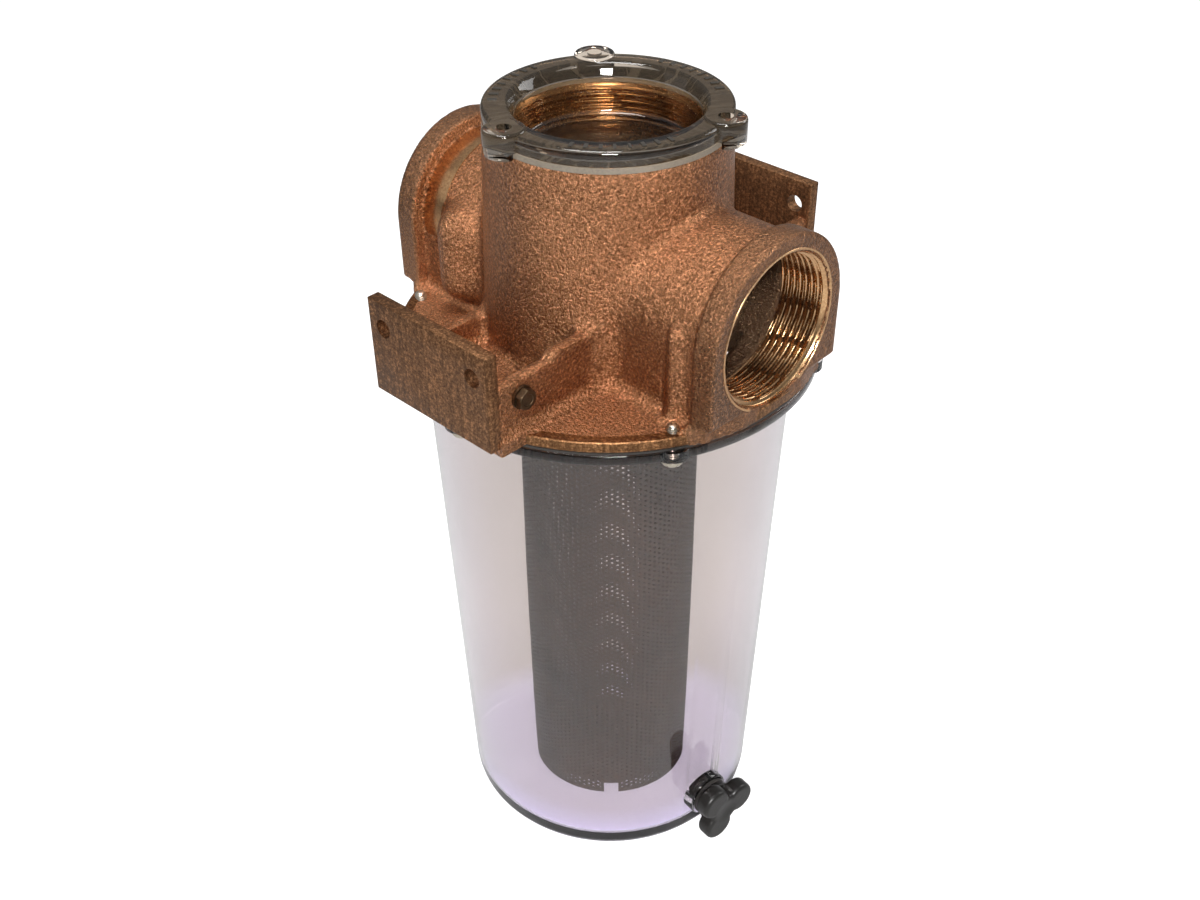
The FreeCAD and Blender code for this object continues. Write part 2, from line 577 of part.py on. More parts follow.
SEAL_FACE = "( " + DRAIN_FACE + " + drain_seal_thick )"
KNOB_FACE = "( " + DRAIN_FACE + " + drain_seal_thick + drain_collar_thick )"
solids = [
    cylinder("DrainShank", "drain_bore_radius - drain_clearance", "drain_shank_length + 1",
             polar("( " + SEAL_FACE + " - drain_shank_length )", DRAIN_ANGLE) + ("drain_height",),
             ALONG_DRAIN),
    cylinder("DrainCollar", "drain_collar_radius", "drain_collar_thick + 1",
             polar(SEAL_FACE, DRAIN_ANGLE) + ("drain_height",), ALONG_DRAIN),
    cylinder("DrainHub", "drain_lobe_offset", "drain_knob_thick",
             polar(KNOB_FACE, DRAIN_ANGLE) + ("drain_height",), ALONG_DRAIN),
]
for number, angle in enumerate(DRAIN_LOBE_ANGLES, start=1):
    # Sideways is level and square to the drain axis.
    side = "drain_lobe_offset * %s" % math.cos(math.radians(angle))
    rise = "drain_lobe_offset * %s" % math.sin(math.radians(angle))
    face = KNOB_FACE
    x = "%s * cos( %s deg ) - %s * sin( %s deg )" % (face, DRAIN_ANGLE, side, DRAIN_ANGLE)
    y = "%s * sin( %s deg ) + %s * cos( %s deg )" % (face, DRAIN_ANGLE, side, DRAIN_ANGLE)
    solids.append(cylinder("DrainLobe%d" % number, "drain_lobe_radius", "drain_knob_thick",
                           (x, y, "drain_height + " + rise), ALONG_DRAIN))
finish(fuse("DrainPlug", solids), "drain_plug")

doc.recompute()

for solid in subparts:
    if "Invalid" in solid.State or "Error" in solid.State:
        raise RuntimeError("sub-part %s did not build: %s" % (solid.Label, solid.State))
    if solid.Shape.isNull() or not solid.Shape.isValid() or not solid.Shape.Solids:
        raise RuntimeError("sub-part %s has no valid solid" % solid.Label)
    print(solid.Label, len(solid.Shape.Solids), round(solid.Shape.Volume))
    solid.Shape.exportStep("parts/%s.step" % solid.Label)
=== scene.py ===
"""Visual model of a sea water strainer: bronze body, clear cap and bowl, perforated basket, plug."""
import logging
import math
from dataclasses import dataclass
from enum import Enum
from typing import Callable, Iterable, Sequence

import bmesh
import bpy
import numpy as np
from mathutils import Matrix, Vector


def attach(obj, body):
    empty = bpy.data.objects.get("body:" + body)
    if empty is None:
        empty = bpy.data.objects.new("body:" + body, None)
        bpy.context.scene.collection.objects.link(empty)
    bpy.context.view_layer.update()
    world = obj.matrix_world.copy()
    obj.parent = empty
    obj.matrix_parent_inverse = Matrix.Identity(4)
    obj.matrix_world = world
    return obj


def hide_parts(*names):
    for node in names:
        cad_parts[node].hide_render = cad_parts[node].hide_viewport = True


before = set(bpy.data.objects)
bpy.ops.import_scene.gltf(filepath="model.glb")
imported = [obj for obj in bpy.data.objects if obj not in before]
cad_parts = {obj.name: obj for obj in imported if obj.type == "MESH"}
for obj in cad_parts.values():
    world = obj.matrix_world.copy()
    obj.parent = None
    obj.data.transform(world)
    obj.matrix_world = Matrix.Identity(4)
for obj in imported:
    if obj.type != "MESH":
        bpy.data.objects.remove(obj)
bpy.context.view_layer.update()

LOG = logging.getLogger("strainer")
MM = 0.001
TAU = 2.0 * math.pi
# Corners of a box numbered 4 i + 2 j + k, with i, j and k counted along x, y and z.
BOX_FACES = ((0, 1, 3, 2), (4, 6, 7, 5), (0, 4, 5, 1), (2, 3, 7, 6), (0, 2, 6, 4), (1, 5, 7, 3))

Field = Callable[[np.ndarray, np.ndarray, np.ndarray], np.ndarray]


# --------------------------------------------------------------------------- mesh tools
def mesh_object(name: str, points: np.ndarray, faces: Sequence, crease: float = 40.0) -> bpy.types.Object:
    """Turn arrays into a linked mesh object.

    Args:
        name: the object's name.
        points: vertex positions in millimetres, one row each.
        faces: lists or an array of vertex numbers.
        crease: the angle in degrees above which an edge stays sharp.

    Returns:
        The new object, at the origin, shaded smooth.
    """
    mesh = bpy.data.meshes.new(name)
    mesh.from_pydata((np.asarray(points, float) * MM).tolist(), [], np.asarray(faces).tolist()
                     if isinstance(faces, np.ndarray) else [list(f) for f in faces])
    mesh.update()
    mesh.validate()
    obj = bpy.data.objects.new(name, mesh)
    bpy.context.scene.collection.objects.link(obj)
    shade(obj, crease)
    return obj


def shade(obj: bpy.types.Object, crease: float) -> None:
    """Shade smooth and keep edges sharper than the crease angle, in degrees.

    Args:
        obj: the piece.
        crease: the angle in degrees.
    """
    mesh = obj.data
    mesh.polygons.foreach_set("use_smooth", np.ones(len(mesh.polygons), bool))
    mesh.set_sharp_from_angle(angle=math.radians(crease))
    mesh.update()


def grid_faces(rows: int, columns: int, close_rows: bool, close_columns: bool) -> np.ndarray:
    """Number the quads of a grid of points stored row by row.

    Args:
        rows: how many rows of points.
        columns: how many points in a row.
        close_rows: whether the last row joins the first.
        close_columns: whether each row's last point joins its first.

    Returns:
        An array of quads.
    """
    i = np.arange(rows if close_rows else rows - 1)
    j = np.arange(columns if close_columns else columns - 1)
    i, j = np.meshgrid(i, j, indexing="ij")
    i2, j2 = (i + 1) % rows, (j + 1) % columns
    return np.stack([i * columns + j, i * columns + j2, i2 * columns + j2, i2 * columns + j],
                    axis=-1).reshape(-1, 4)


def rings(profile: Sequence, segments: int) -> np.ndarray:
    """Return one row of points (r cos a, r sin a, z) for each (radius, height) point of a profile.

    Args:
        profile: the (radius, height) points.
        segments: points round the circle.

    Returns:
        An array of rows, segments and coordinates.
    """
    a = np.linspace(0.0, TAU, segments, endpoint=False)[None, :]
    prof = np.asarray(profile, float)
    r, z = prof[:, :1], prof[:, 1:]
    return np.stack([r * np.cos(a), r * np.sin(a), z + 0.0 * a], axis=-1)


def on_circle(radius: float, angle: float) -> np.ndarray:
    """Return the level offset at a radius and an angle in degrees."""
    turn = math.radians(angle)
    return np.array([radius * math.cos(turn), radius * math.sin(turn), 0.0])


def lathe(profile: Sequence, segments: int) -> tuple:
    """Turn a profile of (radius, height) points round the upright axis.

    The surface is (r cos a, r sin a, z), with the profile running up the outside so that faces
    look outwards. A profile that starts and ends on the axis closes with a fan at each pole.

    Args:
        profile: the (radius, height) points in order, in millimetres.
        segments: points round the circle.

    Returns:
        The vertex array and the list of faces.
    """
    prof = np.asarray(profile, float)
    on_axis = prof[0, 0] < 1e-6 and prof[-1, 0] < 1e-6
    ring = prof[1:-1] if on_axis else prof
    pts = rings(ring, segments).reshape(-1, 3)
    faces = grid_faces(len(ring), segments, not on_axis, True).tolist()
    if on_axis:
        first, last = len(pts), len(pts) + 1
        pts = np.vstack([pts, [[0, 0, prof[0, 1]], [0, 0, prof[-1, 1]]]])
        top = (len(ring) - 1) * segments
        n = np.arange(segments)
        faces += np.stack([np.full(segments, first), (n + 1) % segments, n], 1).tolist()
        faces += np.stack([np.full(segments, last), top + n, top + (n + 1) % segments], 1).tolist()
    return pts, faces


def drum(radius: float, low: float, high: float, segments: int) -> tuple:
    """Return the vertices and faces of a plain closed cylinder."""
    return lathe([(0, low), (radius, low), (radius, high), (0, high)], segments)


def arc(cx: float, cz: float, radius: float, start: float, end: float, steps: int = 6) -> list:
    """Return profile points on a circle arc, angles in degrees from the outward radius."""
    t = np.radians(np.linspace(start, end, steps))
    return np.stack([cx + radius * np.cos(t), cz + radius * np.sin(t)], 1).tolist()


def threaded(crest: float, root: float, low: float, high: float, pitch: float, segments: int,
             per_turn: int, flat: float = 0.25) -> np.ndarray:
    """Work out a helical thread as a height field on a cylinder.

    With s = z / pitch - angle / full turn, the depth is a flat-topped wave of s, and the radius is
    crest + (root - crest) * depth. Both ends fade to the root over half a turn.

    Args:
        crest: radius of the crests.
        root: radius of the roots, larger than crest for an inside thread.
        low: lower end.
        high: upper end.
        pitch: distance between crests.
        segments: points round the circle.
        per_turn: rows of points per pitch.
        flat: share of the pitch that crests and roots take.

    Returns:
        Points as an array of rows, columns and coordinates.
    """
    rows = int((high - low) / pitch * per_turn) + 1
    z = np.linspace(low, high, rows)[:, None]
    a = np.linspace(0.0, TAU, segments, endpoint=False)[None, :]
    s = (z / pitch - a / TAU) % 1.0
    wave = np.abs(2.0 * s - 1.0)
    depth = np.clip((wave - flat) / (1.0 - 2.0 * flat), 0.0, 1.0)
    fade = np.clip(np.minimum(z - low, high - z) / (0.5 * pitch), 0.0, 1.0)
    depth = 1.0 - (1.0 - depth) * fade
    r = crest + (root - crest) * depth
    return np.stack([r * np.cos(a), r * np.sin(a), z + 0.0 * a], axis=-1)


def tube_from_rows(rows: np.ndarray, backing: Sequence, inward: bool) -> tuple:
    """Close a thread's rows with a plain backing wall into a ring of metal.

    Args:
        rows: rows of points round the axis, from low to high.
        backing: (radius, height) points that lead from the top row back to the bottom one.
        inward: whether the rows are the inside of a hole.

    Returns:
        The vertex array and the quads.
    """
    segments = rows.shape[1]
    pts = np.concatenate([rows, rings(backing, segments)]).reshape(-1, 3)
    faces = grid_faces(len(rows) + len(backing), segments, True, True)
    return pts, (faces[:, ::-1] if inward else faces)


def turned(points: np.ndarray, axis: Sequence, origin: Sequence) -> np.ndarray:
    """Stand upright points along another axis.

    Args:
        points: an array of positions whose own axis is +Z.
        axis: the wanted direction, a unit vector.
        origin: where the old origin goes.

    Returns:
        The moved points.
    """
    n = np.asarray(axis, float)
    side = np.cross([0.0, 0.0, 1.0], n)
    side = side / np.linalg.norm(side)
    lift = np.cross(n, side)
    shape = points.shape
    p = points.reshape(-1, 3)
    out = np.asarray(origin, float) + p[:, :1] * side + p[:, 1:2] * lift + p[:, 2:3] * n
    return out.reshape(shape)


def smooth_min(a: np.ndarray, b: np.ndarray, blend: float) -> np.ndarray:
    """Join two distance fields, with a fillet about as large as blend."""
    h = np.clip(0.5 + 0.5 * (b - a) / blend, 0.0, 1.0)
    return b + (a - b) * h - blend * h * (1.0 - h)


def round_min(a: np.ndarray, b: np.ndarray, radius: float) -> np.ndarray:
    """Join two distance fields, with a true round fillet where their faces meet at a right angle."""
    gap = np.hypot(np.maximum(radius - a, 0.0), np.maximum(radius - b, 0.0))
    return np.maximum(radius, np.minimum(a, b)) - gap


def smooth_max(a: np.ndarray, b: np.ndarray, blend: float) -> np.ndarray:
    """Intersect two distance fields, with an edge rounding about as large as blend."""
    return -smooth_min(-a, -b, blend)


def surface_net(value: Field, low: Sequence, high: Sequence, step: float) -> tuple:
    """Wrap a skin of quads round the inside of a distance field.

    Each grid cell that the surface crosses gets one vertex at the mean of its edges' crossings,
    each crossed grid edge joins the four cells round it, and the vertices then slide down the
    field's slope onto the surface.

    Args:
        value: the field, negative inside, in millimetres.
        low: lowest corner of the grid.
        high: highest corner of the grid.
        step: the grid's spacing.

    Returns:
        The vertex array and the quads.
    """
    axes = [np.arange(a, b + step, step) for a, b in zip(low, high)]
    grid = value(*np.meshgrid(*axes, indexing="ij", sparse=True)).astype(np.float32)
    shape = np.array(grid.shape)
    quads, cells, spots = [], [], []
    for axis in range(3):
        u, w = (axis + 1) % 3, (axis + 2) % 3
        a = np.take(grid, range(shape[axis] - 1), axis)
        b = np.take(grid, range(1, shape[axis]), axis)
        edge = np.argwhere((a < 0) != (b < 0))
        va, vb = a[tuple(edge.T)], b[tuple(edge.T)]
        spot = edge.astype(float)
        spot[:, axis] += va / (va - vb)
        ring = []
        for du, dw in ((0, 0), (1, 0), (1, 1), (0, 1)):
            cell = edge.copy()
            cell[:, u] -= du
            cell[:, w] -= dw
            ring.append(np.ravel_multi_index(tuple(cell.T), tuple(shape)))
        ring = np.stack(ring, 1)
        quads.append(np.where((va < 0)[:, None], ring, ring[:, ::-1]))
        cells.append(ring.ravel())
        spots.append(np.repeat(spot, 4, axis=0))
    cells, spots, quads = np.concatenate(cells), np.concatenate(spots), np.concatenate(quads)
    unique, inverse = np.unique(cells, return_inverse=True)
    count = np.bincount(inverse)
    pts = np.stack([np.bincount(inverse, spots[:, k]) / count for k in range(3)], 1)
    pts = np.asarray(low, float) + pts * step
    for _ in range(3):
        pts -= np.clip(slope_step(value, pts), -0.6 * step, 0.6 * step)
    return pts, np.searchsorted(unique, quads)


def slope_step(value: Field, pts: np.ndarray) -> np.ndarray:
    """Return the move, to be taken off, that brings points onto a field's zero surface.

    Args:
        value: the field.
        pts: the points, one row each.

    Returns:
        The moves, one row each.
    """
    e = 0.05
    grad = np.stack([value(*(pts + d).T) - value(*(pts - d).T) for d in np.eye(3) * e], 1) / (2 * e)
    size = np.maximum((grad ** 2).sum(1, keepdims=True), 0.05)
    return value(*pts.T)[:, None] * grad / size


def boolean(base: bpy.types.Object, tools: Iterable, mode: str) -> None:
    """Apply exact booleans to a piece and delete the tools.

    Args:
        base: the piece that changes.
        tools: the closed shapes to add or take away.
        mode: UNION or DIFFERENCE.
    """
    for tool in tools:
        mod = base.modifiers.new("cut", "BOOLEAN")
        mod.operation, mod.solver, mod.object = mode, "EXACT", tool
    apply_modifiers(base)
    for tool in tools:
        bpy.data.objects.remove(tool)


def apply_modifiers(obj: bpy.types.Object) -> None:
    """Bake an object's modifiers into its mesh.

    Args:
        obj: the piece, left with no modifiers.
    """
    graph = bpy.context.evaluated_depsgraph_get()
    mesh = bpy.data.meshes.new_from_object(obj.evaluated_get(graph))
    obj.modifiers.clear()
    old, obj.data = obj.data, mesh
    bpy.data.meshes.remove(old)


def hand_over(obj: bpy.types.Object, body: str, material: bpy.types.Material,
              nodes: Sequence = ()) -> None:
    """Dress a finished piece and parent it to its body's empty.

    Args:
        obj: the piece.
        body: the CAD body it rides on.
        material: its finish.
        nodes: the CAD nodes it stands for.
    """
    obj.data.materials.clear()
    obj.data.materials.append(material)
    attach(obj, body)
    if nodes:
        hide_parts(*nodes)
    LOG.info("%s: %d faces", obj.name, len(obj.data.polygons))


# --------------------------------------------------------------------------- node tools
class Tree:
    """Short forms for building one node tree."""

    def __init__(self, tree: bpy.types.NodeTree) -> None:
        """Keep the tree that nodes are added to."""
        self.tree = tree

    def add(self, kind: str, inputs: dict | None = None, **props: object) -> bpy.types.Node:
        """Add a node.

        Args:
            kind: the node's type name.
            inputs: socket name or number to a value or to another node's socket.
            props: the node's own settings.

        Returns:
            The node.
        """
        node = self.tree.nodes.new(kind)
        for key, val in props.items():
            setattr(node, key, val)
        for key, val in (inputs or {}).items():
            socket = node.inputs[key]
            if isinstance(val, bpy.types.NodeSocket):
                self.tree.links.new(val, socket)
            else:
                socket.default_value = val
        return node

    def math(self, operation: str, a: object, b: object = 0.0, clamp: bool = False) -> object:
        """Return the result of a Math node on two values or sockets."""
        return self.add("ShaderNodeMath", {0: a, 1: b}, operation=operation, use_clamp=clamp).outputs[0]

    def mix(self, factor: object, a: object, b: object, blend: str = "MIX") -> object:
        """Return the colour that mixes a and b by factor.

        Args:
            factor: share of b, a value or a socket.
            a: the first colour.
            b: the second colour.
            blend: the node's blend type.

        Returns:
            The mixed colour's socket.
        """
        node = self.add("ShaderNodeMix", data_type="RGBA", blend_type=blend)
        for key, val in ((0, factor), (6, a), (7, b)):
            if isinstance(val, bpy.types.NodeSocket):
                self.tree.links.new(val, node.inputs[key])
            else:
                node.inputs[key].default_value = val
        return node.outputs[2]

    def remap(self, value: object, low: float, high: float, to_low: float = 0.0,
              to_high: float = 1.0) -> object:
        """Return a value stretched from one range to another, with its ends held."""
        return self.add("ShaderNodeMapRange", {0: value, 1: low, 2: high, 3: to_low, 4: to_high}).outputs[0]

    def noise(self, vector: object, scale: float, detail: float = 3.0, rough: float = 0.5) -> object:
        """Return a noise value at a scale in waves per metre."""
        return self.add("ShaderNodeTexNoise", {"Vector": vector, "Scale": scale, "Detail": detail,
                                               "Roughness": rough}).outputs["Fac"]

    def scaled(self, vector: object, factors: Sequence) -> object:
        """Return a vector stretched along each axis."""
        return self.add("ShaderNodeMapping", {"Vector": vector, "Scale": tuple(factors)}).outputs[0]


def rgba(red: float, green: float, blue: float) -> tuple:
    """Return a linear colour with full alpha from display values of 0 to 255.

    Args:
        red: display value of 0 to 255.
        green: display value of 0 to 255.
        blue: display value of 0 to 255.

    Returns:
        The colour.
    """
    out = []
    for c in (red / 255.0, green / 255.0, blue / 255.0):
        out.append(c / 12.92 if c <= 0.04045 else ((c + 0.055) / 1.055) ** 2.4)
    return (*out, 1.0)


def dimmed(colour: tuple, share: float) -> tuple:
    """Return a colour at a share of its strength, at most white."""
    return (*(min(1.0, c * share) for c in colour[:3]), 1.0)


def new_group(name: str, inputs: Sequence, outputs: Sequence) -> tuple:
    """Start a shader node group.

    Args:
        name: the group's name.
        inputs: (name, socket type, default) of each input.
        outputs: (name, socket type) of each output.

    Returns:
        The group's tree, its Tree helper, its input node and its output node.
    """
    tree = bpy.data.node_groups.new(name, "ShaderNodeTree")
    for label, kind, default in inputs:
        socket = tree.interface.new_socket(label, in_out="INPUT", socket_type=kind)
        if default is not None:
            socket.default_value = default
    for label, kind in outputs:
        tree.interface.new_socket(label, in_out="OUTPUT", socket_type=kind)
    return tree, Tree(tree), tree.nodes.new("NodeGroupInput"), tree.nodes.new("NodeGroupOutput")


FLOAT, VECTOR, COLOUR = "NodeSocketFloat", "NodeSocketVector", "NodeSocketColor"


class Effects:
    """The shader groups that several finishes share."""

    def __init__(self) -> None:
        """Build each group once."""
        self.grain = self._grain()
        self.brushed = self._brushed()
        self.patina = self._patina()

    @staticmethod
    def _grain() -> bpy.types.NodeTree:
        """Sand grain: pits and grains of two sizes, put out as a height and a sparkle mask.

        Returns:
            The group.
        """
        tree, t, src, out = new_group("sand_grain", [("Vector", VECTOR, None), ("Size", FLOAT, 1.0)],
                                      [("Height", FLOAT), ("Sparkle", FLOAT)])
        scaled = t.add("ShaderNodeVectorMath", {0: src.outputs[0]}, operation="SCALE")
        tree.links.new(src.outputs["Size"], scaled.inputs["Scale"])
        vec = scaled.outputs[0]
        coarse = t.noise(vec, 800.0, 2.0, 0.6)
        fine = t.noise(vec, 1900.0, 2.0, 0.6)
        both = t.math("ADD", t.math("MULTIPLY", coarse, 0.6), t.math("MULTIPLY", fine, 0.4))
        tree.links.new(both, out.inputs["Height"])
        tree.links.new(t.remap(both, 0.52, 0.62), out.inputs["Sparkle"])
        return tree

    @staticmethod
    def _brushed() -> bpy.types.NodeTree:
        """Fine parallel tool lines: noise that is stretched hard along one axis.

        Returns:
            The group.
        """
        tree, t, src, out = new_group("tool_lines", [("Vector", VECTOR, None)], [("Lines", FLOAT)])
        fine = t.noise(src.outputs[0], 1.0, 3.0, 0.65)
        tree.links.new(fine, out.inputs["Lines"])
        return tree

    @staticmethod
    def _patina() -> bpy.types.NodeTree:
        """Slow colour drift and stains over a casting.

        Returns:
            The group.
        """
        tree, t, src, out = new_group(
            "patina", [("Vector", VECTOR, None), ("Light", COLOUR, None), ("Dark", COLOUR, None)],
            [("Color", COLOUR), ("Stain", FLOAT)])
        slow = t.noise(src.outputs["Vector"], 14.0, 3.0, 0.5)
        spots = t.noise(src.outputs["Vector"], 900.0, 2.0, 0.6)
        mask = t.math("ADD", t.math("MULTIPLY", slow, 0.6), t.math("MULTIPLY", spots, 0.4))
        stain = t.remap(mask, 0.36, 0.64)
        tree.links.new(t.mix(stain, src.outputs["Dark"], src.outputs["Light"]), out.inputs["Color"])
        tree.links.new(stain, out.inputs["Stain"])
        return tree


def place_group(t: Tree, group: bpy.types.NodeTree, inputs: dict) -> bpy.types.Node:
    """Put a shared group into a material's tree with its own values.

    Args:
        t: the material's tree helper.
        group: the shared group.
        inputs: input name to a value or to another node's socket.

    Returns:
        The group node.
    """
    node = t.add("ShaderNodeGroup", node_tree=group)
    for key, val in inputs.items():
        if isinstance(val, bpy.types.NodeSocket):
            t.tree.links.new(val, node.inputs[key])
        else:
            node.inputs[key].default_value = val
    return node


def new_material(name: str) -> tuple:
    """Start a material.

    Args:
        name: the material's name.

    Returns:
        The material, its Tree helper, its Principled BSDF and its output node.
    """
    mat = bpy.data.materials.new(name)
    mat.use_nodes = True
    nodes = mat.node_tree.nodes
    return mat, Tree(mat.node_tree), nodes["Principled BSDF"], nodes["Material Output"]


@dataclass(frozen=True)
class Bronze:
    """A bronze surface, cast or machined."""

    name: str
    light: tuple
    dark: tuple
    grain: float = 0.0
    lines: tuple | None = None
    rough: tuple = (0.38, 0.6)
    metallic: float = 1.0
    # Flat colour painted as shade where the mesh's "inside" attribute is set: deep in the water ways and on
    # the port heads.
    painted_shade_colour: tuple | None = None
    # Strength of the glints painted on the grain's high points and of the shade painted in its pits.
    glint: float = 0.8
    pits: float = 0.75
    streaks: float = 0.5
    bump_share: float = 0.4

    def build(self, effects: Effects) -> bpy.types.Material:
        """Make the material from the shared effects.

        Args:
            effects: the shader groups.

        Returns:
            The material.
        """
        mat, t, bsdf, _ = new_material(self.name)
        where = t.add("ShaderNodeTexCoord").outputs["Object"]
        patina = place_group(t, effects.patina, {"Vector": where, "Light": self.light, "Dark": self.dark})
        colour = patina.outputs["Color"]
        links = mat.node_tree.links
        height, strength, distance = None, self.bump_share, 0.0004
        if self.grain:
            grain = place_group(t, effects.grain, {"Vector": where, "Size": 1.0})
            height = grain.outputs["Height"]
            strength, distance = self.grain, 0.0015
            # Painted highlight and shade: the grain's high points are lightened towards a bright bronze as
            # glints, and its low points are darkened as shade in the pits.
            glint = t.math("MULTIPLY", grain.outputs["Sparkle"], self.glint)
            colour = t.mix(glint, colour, dimmed(self.light, 1.9))
            pit = t.remap(grain.outputs["Height"], 0.36, 0.5, self.pits, 0.0)
            colour = t.mix(pit, colour, dimmed(self.dark, 0.35))
        if self.lines:
            stretched = t.scaled(where, self.lines)
            lines = place_group(t, effects.brushed, {"Vector": stretched}).outputs["Lines"]
            streak = t.remap(lines, 0.42, 0.62, 0.0, self.streaks)
            colour = t.mix(streak, colour, dimmed(self.dark, 0.45))
            height = lines if height is None else t.math("ADD", height, t.math("MULTIPLY", lines, 0.5))
        # Painted shade: the colour turns towards a flat dark brown by the mesh's "inside" attribute, for the
        # shade deep in the ports and on the port heads.
        if self.painted_shade_colour:
            inside = t.add("ShaderNodeAttribute", attribute_name="inside").outputs["Fac"]
            colour = t.mix(inside, colour, self.painted_shade_colour)
        links.new(colour, bsdf.inputs["Base Color"])
        bsdf.inputs["Metallic"].default_value = self.metallic
        links.new(t.remap(patina.outputs["Stain"], 0.0, 1.0, *self.rough), bsdf.inputs["Roughness"])
        if height is not None:
            bump = t.add("ShaderNodeBump", {"Strength": strength, "Distance": distance, "Height": height})
            links.new(bump.outputs[0], bsdf.inputs["Normal"])
        return mat


@dataclass(frozen=True)
class Clear:
    """Clear moulded plastic that lets light and shadow rays through."""

    name: str
    tint: tuple
    shadow: tuple
    rough: float = 0.02
    index: float = 1.49
    shine: float = 0.5
    # Lighter tint painted as sheen where the surface is seen edge-on, and also laid on the piece's lowest 30
    # mm.
    edge: tuple | None = None

    def build(self, effects: Effects) -> bpy.types.Material:
        """Make the material.

        Args:
            effects: the shader groups, for the faint mould ripple.

        Returns:
            The material.
        """
        mat, t, bsdf, out = new_material(self.name)
        links = mat.node_tree.links
        where = t.add("ShaderNodeTexCoord").outputs["Object"]
        patina = place_group(t, effects.patina, {"Vector": where, "Light": self.tint,
                                                 "Dark": dimmed(self.tint, 0.97)})
        colour = patina.outputs["Color"]
        # Painted sheen: the colour turns to the edge tint where the surface is seen edge-on. Apart from that,
        # the same tint covers the lowest 10 mm of the piece and fades out by 30 mm.
        if self.edge:
            facing = t.add("ShaderNodeLayerWeight", {"Blend": 0.5}).outputs["Facing"]
            colour = t.mix(t.remap(facing, 0.35, 0.85), colour, self.edge)
            axes = t.add("ShaderNodeSeparateXYZ", {0: where})
            colour = t.mix(t.remap(axes.outputs[2], 0.01, 0.03, 1.0, 0.0), colour, self.edge)
        links.new(colour, bsdf.inputs["Base Color"])
        bsdf.inputs["Specular IOR Level"].default_value = self.shine
        bsdf.inputs["Roughness"].default_value = self.rough
        bsdf.inputs["IOR"].default_value = self.index
        bsdf.inputs["Transmission Weight"].default_value = 1.0
        ripple = t.noise(t.scaled(where, (1.0, 1.0, 0.35)), 60.0, 2.0, 0.5)
        bump = t.add("ShaderNodeBump", {"Strength": 0.05, "Distance": 0.0004, "Height": ripple})
        links.new(bump.outputs[0], bsdf.inputs["Normal"])
        path = t.add("ShaderNodeLightPath")
        veil = t.add("ShaderNodeBsdfTransparent", {"Color": self.shadow})
        mixed = t.add("ShaderNodeMixShader", {0: path.outputs["Is Shadow Ray"], 1: bsdf.outputs[0],
                                              2: veil.outputs[0]})
        links.new(mixed.outputs[0], out.inputs["Surface"])
        return mat


@dataclass(frozen=True)
class Plain:
    """Steel, rubber or moulded plastic with fine texture."""

    name: str
    light: tuple
    dark: tuple
    metallic: float
    rough: tuple
    texture: float = 0.2
    scale: float = 900.0

    def build(self, effects: Effects) -> bpy.types.Material:
        """Make the material.

        Args:
            effects: the shader groups.

        Returns:
            The material.
        """
        mat, t, bsdf, _ = new_material(self.name)
        links = mat.node_tree.links
        where = t.add("ShaderNodeTexCoord").outputs["Object"]
        patina = place_group(t, effects.patina, {"Vector": where, "Light": self.light, "Dark": self.dark})
        links.new(patina.outputs["Color"], bsdf.inputs["Base Color"])
        bsdf.inputs["Metallic"].default_value = self.metallic
        links.new(t.remap(patina.outputs["Stain"], 0.0, 1.0, *self.rough), bsdf.inputs["Roughness"])
        bump = t.add("ShaderNodeBump", {"Strength": self.texture, "Distance": 0.0002,
                                        "Height": t.noise(where, self.scale, 2.0, 0.6)})
        links.new(bump.outputs[0], bsdf.inputs["Normal"])
        return mat


class Finish(Enum):
    """The finishes of the strainer."""

    # The cast bronze takes a flat dark brown as painted shade in the water ways and on the port heads.
    CAST = Bronze("sand_cast_bronze", rgba(178, 126, 90), rgba(122, 83, 57), grain=1.0, rough=(0.26, 0.38),
                  painted_shade_colour=rgba(98, 76, 58))
    PLATE = Bronze("brushed_bronze_plate", rgba(142, 102, 70), rgba(104, 72, 48), lines=(700.0, 700.0, 16.0),
                   grain=0.12, rough=(0.42, 0.6), metallic=0.9)
    RIM = Bronze("machined_rim", rgba(152, 110, 74), rgba(108, 75, 50), lines=(420.0, 420.0, 30.0),
                 grain=0.25, rough=(0.3, 0.45))
    THREAD = Bronze("cut_thread_bronze", rgba(224, 184, 138), rgba(176, 132, 92), grain=0.0,
                    rough=(0.2, 0.3))
    CAP = Clear("clear_cap_plastic", rgba(200, 187, 172), rgba(226, 222, 214))
    BOWL = Clear("clear_bowl_plastic", rgba(220, 213, 209), rgba(196, 190, 196), shine=0.15,
                 edge=rgba(230, 225, 240))
    CAP_SEAL = Plain("pale_seal_rubber", rgba(132, 122, 108), rgba(104, 95, 84), 0.0, (0.4, 0.55))
    SEAL = Plain("black_seal_rubber", rgba(52, 48, 44), rgba(36, 33, 30), 0.0, (0.5, 0.65))
    STEEL = Plain("stainless_steel", rgba(206, 198, 184), rgba(160, 150, 134), 1.0, (0.22, 0.4))
    BOLT = Plain("tarnished_bolt", rgba(92, 74, 56), rgba(58, 46, 34), 1.0, (0.35, 0.5), 0.3)
    BASKET = Plain("basket_steel", rgba(92, 70, 54), rgba(56, 43, 33), 0.6, (0.5, 0.62), 0.2)
    PLUG = Plain("black_plug_plastic", rgba(26, 23, 21), rgba(14, 12, 11), 0.0, (0.3, 0.42), 0.35, 500.0)
    # Painted refraction: the raised marks are clear plastic like the cap, and this dark grey stands in for
    # how dark refraction makes them look.
    MARK = Plain("cap_mark_painted_dark", rgba(58, 54, 48), rgba(42, 38, 34), 0.0, (0.25, 0.35))


class Wardrobe:
    """Builds each finish once, on demand."""

    def __init__(self) -> None:
        """Prepare the shared effects."""
        self.effects = Effects()
        self.made: dict = {}

    def get(self, finish: Finish) -> bpy.types.Material:
        """Return the material of a finish.

        Args:
            finish: the finish wanted.

        Returns:
            The material.
        """
        if finish not in self.made:
            self.made[finish] = finish.value.build(self.effects)
        return self.made[finish]


